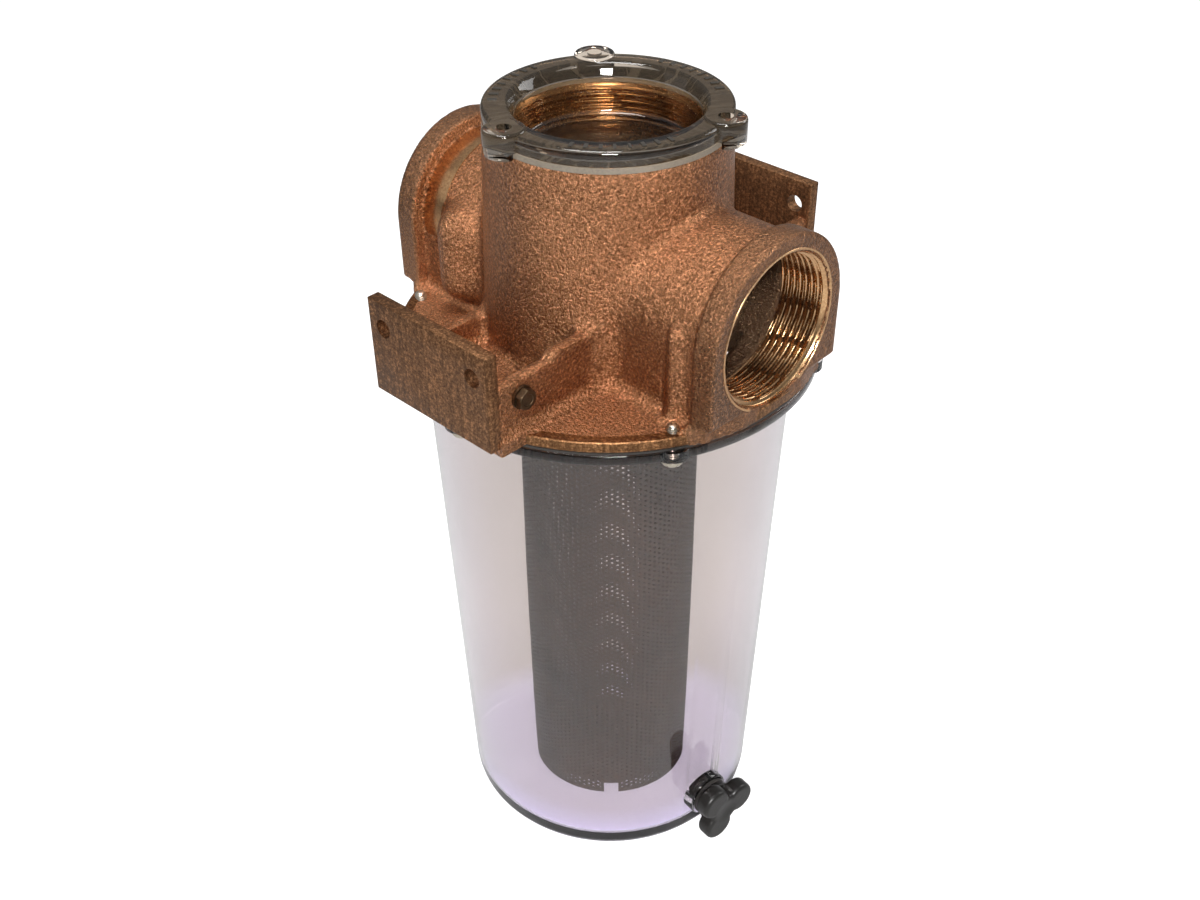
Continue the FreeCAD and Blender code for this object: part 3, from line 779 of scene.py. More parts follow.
# --------------------------------------------------------------------------- body casting
@dataclass
class Casting:
    """The bronze body: neck, two ports, flange, four arms and two plates."""

    flange_radius: float = 100.0
    flange_low: float = 286.0
    flange_high: float = 291.5
    neck_foot: float = 59.0
    neck_top: float = 55.1
    neck_high: float = 392.3
    bore: float = 44.0
    seat_hole: float = 41.2
    port_height: float = 326.6
    port_face: float = 99.3
    head_radius: float = 43.7
    head_thick: float = 12.0
    head_corner: float = 295.6
    boss_radius: float = 40.0
    left_boss_radius: float = 37.0
    thread_crest: float = 33.4
    thread_root: float = 35.1
    thread_length: float = 26.0
    passage: float = 33.9
    partition: float = 50.0
    chamber_reach: float = 63.0
    chamber_half: float = 23.0
    housing_radius: float = 81.0
    housing_half: float = 52.3
    housing_low: float = 295.0
    housing_high: float = 345.0
    rib: float = 3.6
    rib_at: float = 76.0
    rib_high: float = 335.5
    arm_mid: float = 33.0
    arm_half: float = 3.0
    arm_top: float = 318.2
    left_arm_top: float = 306.0
    gusset_start: float = 74.0
    gusset_rise: float = 3.0
    plate_half: float = 37.2
    plate_inner: float = 104.5
    plate_thick: float = 6.2
    plate_low: float = 290.0
    plate_high: float = 336.6
    hole_at: float = 28.1
    hole_radius: float = 4.4
    hole_height: float = 324.1
    pitch: float = 3.175
    neck_thread_low: float = 370.5
    neck_crest: float = 42.7
    housing_round: tuple = (10.0, 14.0)
    housing_fillet: float = 5.0
    boss_fillet: float = 3.5
    head_fillet: float = 1.2
    rib_fillet: float = 2.0
    arm_fillet: float = 5.0
    flange_fillet: float = 6.5
    edge_round: float = 0.8
    head_round: float = 1.4
    arm_round: float = 1.4
    rib_round: float = 4.0
    bore_round: float = 0.5
    shade_depth: float = 14.0
    head_shade: float = 0.4
    skin_step: float = 1.5

    def outside(self, x: np.ndarray, y: np.ndarray, z: np.ndarray) -> np.ndarray:
        """Distance field of the casting without its hollows.

        Args:
            x: positions along the ports.
            y: positions towards the plates.
            z: heights.

        Returns:
            Signed distances, negative in the metal.
        """
        r, ax, ay = np.hypot(x, y), np.abs(x), np.abs(y)
        flange = smooth_max(r - self.flange_radius + 1.6, z - self.flange_high + 0.12,
                            self.edge_round)
        share = (z - self.flange_low) / (self.neck_high - self.flange_low)
        neck = smooth_max(r - self.neck_foot + (self.neck_foot - self.neck_top) * share,
                          z - self.neck_high, self.edge_round)
        arch = np.hypot(y, np.maximum(z - self.port_height, 0.0))
        waist = np.where(x > 0, self.boss_radius, self.left_boss_radius)
        boss = np.maximum(arch - waist, ax - self.port_face + 6.0)
        middle = self.port_face - self.head_thick / 2
        slab = np.abs(ax - middle) - self.head_thick / 2 + 0.1
        head = smooth_max(arch - self.head_radius, slab, self.head_round)
        head = smooth_max(head, np.minimum(self.head_corner - z, r - self.flange_radius), 1.0)
        post = np.hypot(x - self.rib_at, ay - self.boss_radius) - self.rib
        rib = smooth_max(post, z - self.rib_high, self.rib_round)
        lift = np.clip(self.gusset_start - ay, 0.0, self.gusset_rise)
        top = np.where(x > 0, self.arm_top + lift, self.left_arm_top)
        arm = smooth_max(np.abs(ax - self.arm_mid) - self.arm_half, (z - top) * 0.8, self.arm_round)
        arm = np.maximum(arm, ay - self.plate_inner - 1.0)
        tongue = smooth_max(ax - self.plate_half, z - self.flange_high + 0.12, self.edge_round)
        tongue = np.maximum(tongue, ay - self.plate_inner - 1.0)
        body = round_min(neck, self._housing(x, ay, z, r), self.housing_fillet)
        body = round_min(body, boss, self.boss_fillet)
        body = round_min(body, head, self.head_fillet)
        body = round_min(body, rib, self.rib_fillet)
        body = round_min(body, arm, self.arm_fillet)
        body = round_min(body, np.minimum(flange, tongue), self.flange_fillet)
        return smooth_max(body, self.flange_low + 0.02 - z, 0.3)

    def _housing(self, x: np.ndarray, ay: np.ndarray, z: np.ndarray, r: np.ndarray) -> np.ndarray:
        """Distance field of the swollen sector between the neck and the left port.

        Its sides are the planes |y| cos t = -x sin t, where t is the sector's half angle.

        Args:
            x: positions along the ports.
            ay: distances from the middle plane.
            z: heights.
            r: distances from the upright axis.

        Returns:
            Signed distances, negative in the metal.
        """
        turn = math.asin(self.housing_half / self.housing_radius)
        sector = ay * math.cos(turn) + x * math.sin(turn)
        middle = (self.housing_low + self.housing_high) / 2
        half = (self.housing_high - self.housing_low) / 2
        plan = smooth_max(sector, r - self.housing_radius, self.housing_round[0])
        return smooth_max(plan, np.abs(z - middle) - half, self.housing_round[1])

    def hollow(self, x: np.ndarray, y: np.ndarray, z: np.ndarray) -> np.ndarray:
        """Distance field of the water ways and bores.

        Args:
            x: positions along the ports.
            y: positions towards the plates.
            z: heights.

        Returns:
            Signed distances, negative in the open space.
        """
        r = np.hypot(x, y)
        neck = np.maximum(r - self.bore - 0.15, self.flange_high - z)
        seat = r - self.seat_hole
        round_port = np.hypot(y, z - self.port_height)
        thread_start = self.port_face - self.thread_length
        threads = np.maximum(round_port - self.thread_root - 0.15, thread_start - np.abs(x))
        inlet = np.maximum(np.maximum(round_port - self.passage, x), -x - self.port_face)
        drop = np.maximum(np.maximum(np.abs(y) - self.chamber_half, z - self.port_height),
                          x - self.chamber_reach)
        chamber = np.minimum(np.maximum(round_port - self.passage, x - self.port_face), drop)
        outlet = np.maximum(chamber, np.maximum(self.partition - r, -x))
        return np.minimum(np.minimum(np.minimum(neck, seat), threads), np.minimum(inlet, outlet))

    def metal(self, x: np.ndarray, y: np.ndarray, z: np.ndarray) -> np.ndarray:
        """Distance field of the finished casting."""
        return smooth_max(self.outside(x, y, z), -self.hollow(x, y, z), self.bore_round)

    def build(self, wardrobe: Wardrobe) -> None:
        """Make the casting's skin, rim, plates and threads.

        Args:
            wardrobe: source of finishes.
        """
        reach = self.plate_inner + 3.0
        pts, faces = surface_net(self.metal, (-101.5, -reach, 284.0), (101.5, reach, 394.5), self.skin_step)
        pts = np.clip(pts, [-self.port_face, -self.plate_inner - 1.0, self.flange_low],
                      [self.port_face, self.plate_inner + 1.0, self.neck_high])
        skin = mesh_object("casting_skin", pts, faces, 55.0)
        LOG.info("casting skin: %d quads", len(faces))
        # Painted shade: the "inside" attribute grows from 0 at the port mouths and neck top to 1 at 14 mm
        # into the water ways, and is at least 0.4 on the port heads, which the finish darkens by it.
        depth = np.minimum(self.port_face - np.abs(pts[:, 0]), self.neck_high - pts[:, 2])
        inside = np.clip(1.2 - self.hollow(*pts.T), 0.0, 1.0) * np.clip(depth / self.shade_depth, 0.0, 1.0)
        on_head = np.abs(pts[:, 0]) > self.port_face - self.head_thick + 0.3
        inside = np.maximum(inside, self.head_shade * on_head)
        layer = skin.data.attributes.new("inside", "FLOAT", "POINT")
        layer.data.foreach_set("value", inside.astype(np.float32))
        hand_over(skin, "housing", wardrobe.get(Finish.CAST), ["body_casting"])

        low, high, rad = self.flange_low + 0.02, self.flange_high, self.flange_radius
        profile = [(rad - 5.0, low), (rad - 0.7, low), (rad, low + 0.7), (rad, high - 0.5), (rad - 0.5, high),
                   (rad - 5.0, high)]
        pts, faces = lathe(profile, 240)
        hand_over(mesh_object("flange_rim", pts, faces), "housing", wardrobe.get(Finish.RIM))
        self._plates(wardrobe)
        self._threads(wardrobe)

    def _plates(self, wardrobe: Wardrobe) -> None:
        """Make the two drilled plates.

        Args:
            wardrobe: source of finishes.
        """
        for side, name in ((-1, "front_plate"), (1, "rear_plate")):
            centre = (0.0, side * (self.plate_inner + self.plate_thick / 2),
                      (self.plate_low + self.plate_high) / 2)
            size = (self.plate_half * 2, self.plate_thick, self.plate_high - self.plate_low)
            plate = rounded_box(name, centre, size, 0.5)
            tools = []
            for hand in (-1, 1):
                pts, faces = drum(self.hole_radius, -8.0, 8.0, 48)
                pts = turned(pts, (0, 1, 0), (hand * self.hole_at, centre[1], self.hole_height))
                tools.append(mesh_object("drill", pts, faces))
            boolean(plate, tools, "DIFFERENCE")
            shade(plate, 30.0)
            hand_over(plate, "housing", wardrobe.get(Finish.PLATE))

    def _threads(self, wardrobe: Wardrobe) -> None:
        """Cut the two port threads and the neck thread.

        Args:
            wardrobe: source of finishes.
        """
        root, crest = self.thread_root, self.thread_crest
        start = self.port_face - self.thread_length
        for side, name in ((1, "right_port_thread"), (-1, "left_port_thread")):
            rows = threaded(crest, root, start, self.port_face - 1.6, self.pitch, 160, 12)
            back = [(root + 0.2, self.port_face - 1.2), (root + 0.9, self.port_face - 0.05),
                    (root + 1.8, self.port_face), (root + 2.2, self.port_face - 0.5),
                    (root + 2.2, start), (root + 0.2, start - 0.2)]
            pts, faces = tube_from_rows(rows, back, True)
            pts = turned(pts, (side, 0, 0), (0, 0, self.port_height))
            liner = mesh_object(name, pts, faces, 50.0)
            hand_over(liner, "housing", wardrobe.get(Finish.THREAD))
        rows = threaded(self.neck_crest, self.bore - 0.1, self.neck_thread_low, self.neck_high - 1.0,
                        self.pitch, 160, 12)
        back = [(self.bore + 0.6, self.neck_high - 0.02), (self.bore + 2.0, self.neck_high - 0.02),
                (self.bore + 2.0, self.neck_thread_low)]
        pts, faces = tube_from_rows(rows, back, True)
        hand_over(mesh_object("neck_thread", pts, faces, 50.0), "housing",
                  wardrobe.get(Finish.THREAD))


def rounded_box(name: str, centre: Sequence, size: Sequence, radius: float) -> bpy.types.Object:
    """Make a box with bevelled edges, from the eight signed half sizes round its centre.

    Args:
        name: the piece's name.
        centre: its middle, in millimetres.
        size: its length along each axis.
        radius: the rounding of its edges.

    Returns:
        The mesh object.
    """
    signs = np.array([[i, j, k] for i in (-1, 1) for j in (-1, 1) for k in (-1, 1)], float)
    pts = signs * np.asarray(size, float) / 2 + np.asarray(centre, float)
    obj = mesh_object(name, pts, BOX_FACES, 30.0)
    bevel = obj.modifiers.new("edge", "BEVEL")
    bevel.width, bevel.segments, bevel.limit_method = radius * MM, 2, "NONE"
    apply_modifiers(obj)
    return obj


# --------------------------------------------------------------------------- cap
@dataclass
class Cap:
    """The clear screw-in cap and its marks."""

    low: float = 394.8
    high: float = 402.0
    radius: float = 55.0
    mouth: float = 45.0
    cup: float = 40.0
    skirt: float = 42.45
    skirt_low: float = 374.3
    window: float = 4.5
    lug_radius: float = 9.5
    lug_at: float = 53.5
    lug_top: float = 403.0
    lug_low: float = 391.4
    lug_angles: tuple = (20.0, 140.0, 260.0)
    pit: float = 3.4
    pit_depth: float = 3.0
    neck_room: float = 56.2
    foot_round: float = 1.2
    under_round: float = 1.0
    rim_round: float = 2.0
    mouth_round: float = 3.2
    cup_fillet: float = 2.5
    lug_round: float = 1.5
    mark_offsets: tuple = (-24.0, -17.0, -10.0, -3.5, 3.5, 10.0, 17.0, 24.0)
    mark_span: tuple = (47.9, 51.9)
    mark_wide: float = 0.798
    mark_narrow: float = 0.504

    def build(self, wardrobe: Wardrobe) -> None:
        """Make the cap and its marks.

        Args:
            wardrobe: source of finishes.
        """
        floor = self.skirt_low + self.window
        foot, under, rim = self.foot_round, self.under_round, self.rim_round
        mouth, cup = self.mouth_round, self.cup_fillet
        profile = [(0, self.skirt_low)] + arc(self.skirt - foot, self.skirt_low + foot, foot, -90, 0) \
            + [(self.skirt, self.low - 0.8), (self.skirt + 0.5, self.low), (self.radius - under, self.low)] \
            + arc(self.radius - under, self.low + under, under, -90, 0) \
            + arc(self.radius - rim, self.high - rim, rim, 0, 90) \
            + [(self.mouth + 2.2, self.high)] \
            + arc(self.mouth + 0.6, self.high - mouth, mouth, 88, 150, 5) \
            + [(self.cup + 0.8, self.high - 6.0), (self.cup, self.high - 8.5)] \
            + arc(self.cup - cup, floor + cup, cup, 0, -90) + [(0, floor)]
        pts, faces = lathe(profile, 128)
        cap = mesh_object("cap_clear", pts, faces, 50.0)
        lugs, pits = [], []
        room_pts, room_faces = drum(self.neck_room, self.lug_low - 1, self.low, 128)
        for number, angle in enumerate(self.lug_angles):
            at = on_circle(self.lug_at, angle)
            pts, faces = lathe([(0, self.lug_low), (self.lug_radius - 0.8, self.lug_low),
                                (self.lug_radius, self.lug_low + 0.8)]
                               + arc(self.lug_radius - self.lug_round, self.lug_top - self.lug_round,
                                     self.lug_round, 0, 90, 5)
                               + [(0, self.lug_top)], 40)
            lug = mesh_object("lug%d" % number, pts + at, faces)
            boolean(lug, [mesh_object("room", room_pts, room_faces)], "DIFFERENCE")
            lugs.append(lug)
            pts, faces = drum(self.pit, self.lug_top - self.pit_depth, self.lug_top + 2, 24)
            pits.append(mesh_object("pit%d" % number, pts + at, faces))
        boolean(cap, lugs, "UNION")
        boolean(cap, pits, "DIFFERENCE")
        shade(cap, 50.0)
        hand_over(cap, "cap", wardrobe.get(Finish.CAP), ["service_cap"])
        self._marks(wardrobe)

    def _marks(self, wardrobe: Wardrobe) -> None:
        """Raise plain bars in three groups on the cap's ring.

        Args:
            wardrobe: source of finishes.
        """
        quads, pts = [], []
        for group in self.lug_angles:
            for offset in self.mark_offsets:
                a = math.radians(group + 60.0 + offset)
                half = self.mark_wide if abs(offset) > 5 else self.mark_narrow
                box = np.array([[i, j, k] for i in self.mark_span for j in (-half, half)
                                for k in (self.high - 0.3, self.high + 0.45)], float)
                rot = np.array([[math.cos(a), math.sin(a), 0], [-math.sin(a), math.cos(a), 0], [0, 0, 1]])
                base = 8 * len(pts)
                pts.append(box @ rot)
                quads += [[base + i for i in f] for f in BOX_FACES]
        marks = mesh_object("cap_marks", np.concatenate(pts), quads, 30.0)
        hand_over(marks, "cap", wardrobe.get(Finish.MARK))


# --------------------------------------------------------------------------- bowl
@dataclass
class Bowl:
    """The clear sight bowl with its flange ears and drain boss."""

    foot: float = 77.7
    base: float = 79.5
    base_high: float = 4.0
    top: float = 88.7
    wall: float = 5.5
    floor: float = 6.0
    flange_low: float = 279.5
    flange_high: float = 284.78
    flange_radius: float = 100.25
    ear: float = 7.95
    bolt_circle: float = 94.6
    screw: float = 3.1
    screw_angles: tuple = (-30.0, -90.0, -150.0, 150.0, 90.0, 30.0)
    drain_angle: float = -7.5
    drain_height: float = 27.0
    drain_boss: float = 12.5
    drain_face: float = 86.0
    drain_bore: float = 7.2

    def outer_at(self, z: float) -> float:
        """Return the wall's outside radius at a height."""
        return self.base + (self.top - self.base) * (z - self.base_high) / (self.flange_low - self.base_high)

    def build(self, wardrobe: Wardrobe) -> None:
        """Make the bowl as one solid.

        Args:
            wardrobe: source of finishes.
        """
        inner_top = self.top - self.wall
        inner_low = self.base - self.wall
        outer_low = self.outer_at(self.flange_low - 0.5)
        profile = [(0, 0), (self.foot - 2.0, 0.0), (self.foot, 0.7), (self.base - 0.4, self.base_high - 1.0),
                   (self.base, self.base_high + 1.0), (outer_low, self.flange_low - 0.5)] \
            + arc(outer_low + 0.52, self.flange_low - 0.5, 0.5, 180, 90, 3)[1:] \
            + [(self.flange_radius - 0.6, self.flange_low), (self.flange_radius, self.flange_low + 0.6),
               (self.flange_radius, self.flange_high - 0.4), (self.flange_radius - 0.4, self.flange_high),
               (inner_top, self.flange_high), (inner_low + 0.15, self.floor + 4.0)] \
            + arc(inner_low - 3.85, self.floor + 4.0, 4.0, 0, -90, 6)[1:] + [(0, self.floor)]
        pts, faces = lathe(profile, 192)
        bowl = mesh_object("bowl_clear", pts, faces, 50.0)
        adds, cuts = [], []
        for number, angle in enumerate(self.screw_angles):
            at = on_circle(self.bolt_circle, angle)
            pts, faces = drum(self.ear, self.flange_low, self.flange_high, 40)
            adds.append(mesh_object("ear%d" % number, pts + at + [0, 0, 0.004], faces))
            pts, faces = drum(self.screw, self.flange_low - 2, self.flange_high + 2, 20)
            cuts.append(mesh_object("hole%d" % number, pts + at, faces))
        a = math.radians(self.drain_angle)
        axis = (math.cos(a), math.sin(a), 0.0)
        pts, faces = lathe([(0, 76.0), (self.drain_boss, 76.0)] + [(self.drain_boss, self.drain_face - 0.8),
                           (self.drain_boss - 0.8, self.drain_face), (0, self.drain_face)], 48)
        adds.append(mesh_object("drain_boss", turned(pts, axis, (0, 0, self.drain_height)), faces))
        pts, faces = drum(self.drain_bore, 60.0, 90.0, 40)
        cuts.append(mesh_object("drain_bore", turned(pts, axis, (0, 0, self.drain_height)), faces))
        boolean(bowl, adds, "UNION")
        boolean(bowl, cuts, "DIFFERENCE")
        shade(bowl, 50.0)
        hand_over(bowl, "housing", wardrobe.get(Finish.BOWL), ["sight_bowl"])


# --------------------------------------------------------------------------- basket
@dataclass
class Basket:
    """The perforated lift-out basket."""

    radius: float = 40.4
    wall: float = 0.8
    low: float = 6.0
    high: float = 295.3
    ring_radius: float = 42.2
    ring_low: float = 291.8
    columns: int = 96
    pitch: float = 3.175
    hole: float = 0.88
    band: float = 2.2
    notch_angles: tuple = (-46.0, 134.0)
    notch_half: float = 4.0
    notch_high: float = 8.0
    notch_frame: tuple = (1.6, 2.0)
    floor_at: float = 14.5

    def sheet(self, name: str, first: int, last: int) -> bpy.types.Object:
        """Make rows of staggered hexagonal cells, each with a round hole of six sides.

        A cell is the band between its hexagonal edge and its hole, on both faces of the sheet,
        and the hole's wall. The flat pattern (s, z) is wrapped as (r cos s, r sin s, z).

        Args:
            name: the piece's name.
            first: the first row.
            last: one past the last row.

        Returns:
            The mesh object.
        """
        step = TAU / self.columns
        rows, cols = np.meshgrid(np.arange(first, last), np.arange(self.columns), indexing="ij")
        shift = 0.5 * (cols % 2)
        centre_s = (cols * step).ravel()
        centre_z = (self.low + self.band + (rows + 0.5 + shift) * self.pitch).ravel()
        keep = centre_z < self.ring_low - 1.5
        for angle in self.notch_angles:
            away = np.abs((centre_s - math.radians(angle) + math.pi) % TAU - math.pi) * self.radius
            keep &= ~((away < self.notch_half + 1.4) & (centre_z < self.low + self.notch_high + 1.5))
        centre_s, centre_z = centre_s[keep], centre_z[keep]
        half_s, half_z = step, self.pitch / 2
        # Cell corners: the hexagon of a lattice whose neighbours sit one column over, half a row up.
        hs = np.array([2, 1, -1, -2, -1, 1]) * half_s / 3.0
        hz = np.array([0, 1, 1, 0, -1, -1]) * half_z
        ang = np.radians([0, 60, 120, 180, 240, 300])
        ring_s, ring_z = self.hole * np.cos(ang) / self.radius, self.hole * np.sin(ang)
        outer = self.radius - 0.02
        inner = self.radius - self.wall
        loops = []
        for ds, dz, rad in ((hs, hz, outer), (ring_s, ring_z, outer),
                            (ring_s, ring_z, inner), (hs, hz, inner)):
            s = centre_s[:, None] + ds[None, :]
            z = centre_z[:, None] + dz[None, :]
            loops.append(np.stack([rad * np.cos(s), rad * np.sin(s), z], axis=-1))
        pts = np.stack(loops, 1).reshape(-1, 3)
        base = (np.arange(len(centre_s)) * 24)[:, None, None]
        k = np.arange(6)
        k2 = (k + 1) % 6
        cell = np.concatenate([np.stack([n * 6 + k, n * 6 + k2, (n + 1) * 6 + k2, (n + 1) * 6 + k], 1)
                               for n in range(3)])
        faces = (base + cell[None]).reshape(-1, 4)
        obj = mesh_object(name, pts, faces, 40.0)
        mesh = obj.data
        flat = np.tile(np.repeat([True, False, True], 6), len(centre_s))
        mesh.polygons.foreach_set("use_smooth", flat)
        return obj

    def build(self, wardrobe: Wardrobe) -> None:
        """Make the screen in two halves, its bands, floor and top ring.

        Args:
            wardrobe: source of finishes.
        """
        total = int((self.ring_low - self.low - self.band) / self.pitch)
        finish = wardrobe.get(Finish.BASKET)
        lower = self.sheet("basket_screen_lower", 0, total // 2)
        hand_over(lower, "housing", finish, ["basket_screen"])
        upper = self.sheet("basket_screen_upper", total // 2, total)
        hand_over(upper, "housing", finish)
        self._bands(finish)
        self._floor(finish)
        out, inn = self.ring_radius, self.radius - self.wall - 0.1
        pts, faces = lathe([(inn, self.ring_low - 4.0), (self.radius + 0.02, self.ring_low - 4.0),
                            (self.radius + 0.02, self.ring_low), (out - 0.4, self.ring_low),
                            (out, self.ring_low + 0.4)] + arc(out - 1.2, self.high - 1.2, 1.2, 0, 90, 5)
                           + [(inn + 0.5, self.high), (inn, self.high - 0.5)], 128)
        ring = mesh_object("basket_rim", pts, faces, 50.0)
        hand_over(ring, "housing", finish, ["basket_top_ring"])

    def _bands(self, finish: bpy.types.Material) -> None:
        """Make the plain lower edge, which stops at each notch and frames it.

        Args:
            finish: the basket steel.
        """
        pieces = []
        start = 0
        notches = sorted(math.radians(a) % TAU for a in self.notch_angles)
        half = self.notch_half / self.radius
        edge = half + self.notch_frame[0] / self.radius
        low, high, brow = self.low, self.low + self.band + 0.9, self.low + self.notch_high
        for index, notch in enumerate(notches):
            following = notches[(index + 1) % len(notches)] + (TAU if index + 1 == len(notches) else 0.0)
            s = np.linspace(notch + half, following - half, 90)
            pieces.append((s, low, high))
            pieces.append((np.linspace(notch + half, notch + edge, 4), low, brow))
            pieces.append((np.linspace(notch - edge, notch - half, 4), low, brow))
            pieces.append((np.linspace(notch - edge, notch + edge, 10), brow, brow + self.notch_frame[1]))
        pts, faces = [], []
        outer, inner = self.radius, self.radius - self.wall - 0.02
        for s, bottom, top in pieces:
            corner = [(outer, bottom), (outer, top), (inner, top), (inner, bottom)]
            rows = np.stack([np.stack([r * np.cos(s), r * np.sin(s), z + 0 * s], -1) for r, z in corner], 1)
            grid = grid_faces(len(s), 4, False, True)[:, ::-1] + start
            faces += grid.tolist()
            end = start + 4 * len(s) - 4
            faces += [[start + 3, start + 2, start + 1, start], [end, end + 1, end + 2, end + 3]]
            pts.append(rows.reshape(-1, 3))
            start += 4 * len(s)
        band = mesh_object("basket_lower_edge", np.concatenate(pts), faces, 40.0)
        recalculate(band)
        hand_over(band, "housing", finish)

    def _floor(self, finish: bpy.types.Material) -> None:
        """Make the basket's dished floor plate.

        Args:
            finish: the basket steel.
        """
        r = self.radius - self.wall - 0.05
        z = self.floor_at
        pts, faces = lathe([(0, z), (r - 1.0, z), (r, z + 0.4), (r, z + 3.0), (r - 0.7, z + 3.0),
                            (r - 0.9, z + 0.8), (0, z + 0.8)], 96)
        hand_over(mesh_object("basket_base", pts, faces, 40.0), "housing", finish,
                  ["basket_floor"])


def recalculate(obj: bpy.types.Object) -> None:
    """Make a closed mesh's faces look outwards.

    Args:
        obj: the piece.
    """
    bm = bmesh.new()
    bm.from_mesh(obj.data)
    bmesh.ops.recalc_face_normals(bm, faces=bm.faces)
    bm.to_mesh(obj.data)
    bm.free()


# --------------------------------------------------------------------------- fasteners
@dataclass
class Fasteners:
    """Flange screws, washers and the bonding bolt."""

    bolt_circle: float = 94.6
    angles: tuple = (-30.0, -90.0, -150.0, 150.0, 90.0, 30.0)
    radius: float = 3.0
    pitch: float = 1.27
    thread_depth: float = 0.55
    sides: int = 24
    flange_low: float = 279.5
    washer: float = 1.2
    washer_radius: float = 5.7
    head_radius: float = 5.0
    head_high: float = 3.8
    tip: float = 294.9
    bond_at: tuple = (36.0, -91.4, 309.6)
    bond_hex: float = 8.7
    bond_seat: float = 1.4
    bond_head: tuple = ((0.0, 9.0), (1.4, 9.0), (2.5, 9.0), (2.9, 4.75), (3.2, 4.3))
    bond_dish: tuple = ((2.8, 3.2), (2.6, 3.0), (0.6, 3.0))
    bond_shank: tuple = ((0.6, -13.3), (2.4, -13.3), (3.0, -12.6), (3.0, -0.2), (3.0, 0.0))

    def screw(self) -> tuple:
        """Work out one upright screw with a domed head, thread and rounded tip.

        Returns:
            The vertex array and the faces.
        """
        under = self.flange_low - self.washer
        head = under - self.head_high
        rows = threaded(self.radius, self.radius - self.thread_depth, under + 0.3, self.tip - 0.9,
                        self.pitch, self.sides, 6)
        r = self.head_radius
        profile = [(1.2, head)] + arc(r - 1.6, head + 1.6, 1.6, -90, 0, 5) \
            + [(r, under - 0.2), (r - 0.2, under), (self.radius - 0.4, under)]
        tip = [(self.radius - 0.6, self.tip - 0.7), (self.radius - 1.1, self.tip - 0.15), (0.9, self.tip)]
        grid = np.concatenate([rings(profile, self.sides), rows, rings(tip, self.sides)])
        count = grid.shape[0]
        faces = grid_faces(count, self.sides, False, True).tolist()
        faces.append(list(range(self.sides - 1, -1, -1)))
        faces.append([(count - 1) * self.sides + k for k in range(self.sides)])
        return grid.reshape(-1, 3), faces

    def ring_of(self, pts: np.ndarray, faces: Sequence) -> tuple:
        """Repeat a small mesh at each flange screw.

        Args:
            pts: its vertices, round the upright axis.
            faces: its faces.

        Returns:
            The vertex array and the faces of all six.
        """
        all_pts, all_faces = [], []
        for angle in self.angles:
            base = len(pts) * len(all_pts)
            all_pts.append(pts + on_circle(self.bolt_circle, angle))
            all_faces += [[base + i for i in f] for f in faces]
        return np.concatenate(all_pts), all_faces

    def build(self, wardrobe: Wardrobe) -> None:
        """Make the screws, washers and bolt.

        Args:
            wardrobe: source of finishes.
        """
        pts, faces = self.ring_of(*self.screw())
        hand_over(mesh_object("flange_screws", pts, faces, 45.0), "housing",
                  wardrobe.get(Finish.STEEL), ["bowl_screw_%d" % n for n in range(1, 7)])
        low, high = self.flange_low - self.washer, self.flange_low
        pts, faces = lathe([(self.radius + 0.1, low), (self.washer_radius - 0.3, low),
                            (self.washer_radius, low + 0.3), (self.washer_radius, high - 0.2),
                            (self.washer_radius - 0.2, high), (self.radius + 0.1, high)], 32)
        pts, faces = self.ring_of(pts, faces)
        hand_over(mesh_object("flange_washers", pts, faces, 35.0), "housing",
                  wardrobe.get(Finish.STEEL), ["bowl_washer_%d" % n for n in range(1, 7)])
        self._bonding_bolt(wardrobe)

    def _bonding_bolt(self, wardrobe: Wardrobe) -> None:
        """Make the hexagon bolt.

        The head's radius at angle a is the hexagon's, apothem / cos(a within a sixth), and its top
        corners are cut by a cone.

        Args:
            wardrobe: source of finishes.
        """
        seg = 48
        a = np.linspace(0.0, TAU, seg, endpoint=False)[None, :]
        apothem = self.bond_hex / 2
        hexagon = apothem / np.cos((a + math.pi / 6) % (math.pi / 3) - math.pi / 6)
        head = [np.stack([np.minimum(hexagon, cut) * np.cos(a), np.minimum(hexagon, cut) * np.sin(a),
                          z + 0.0 * a], axis=-1)
                for z, cut in self.bond_head]
        grid = np.concatenate([rings(self.bond_shank, seg), *head, rings(self.bond_dish, seg)])
        faces = grid_faces(len(grid), seg, False, True).tolist()
        faces.append(list(range(seg - 1, -1, -1)))
        faces.append([(len(grid) - 1) * seg + k for k in range(seg)])
        x, y, z = self.bond_at
        pts = turned(grid.reshape(-1, 3), (1, 0, 0), (x + self.bond_seat, y, z))
        hand_over(mesh_object("bonding_bolt_hex", pts, faces, 30.0), "housing",
                  wardrobe.get(Finish.BOLT), ["bonding_bolt"])


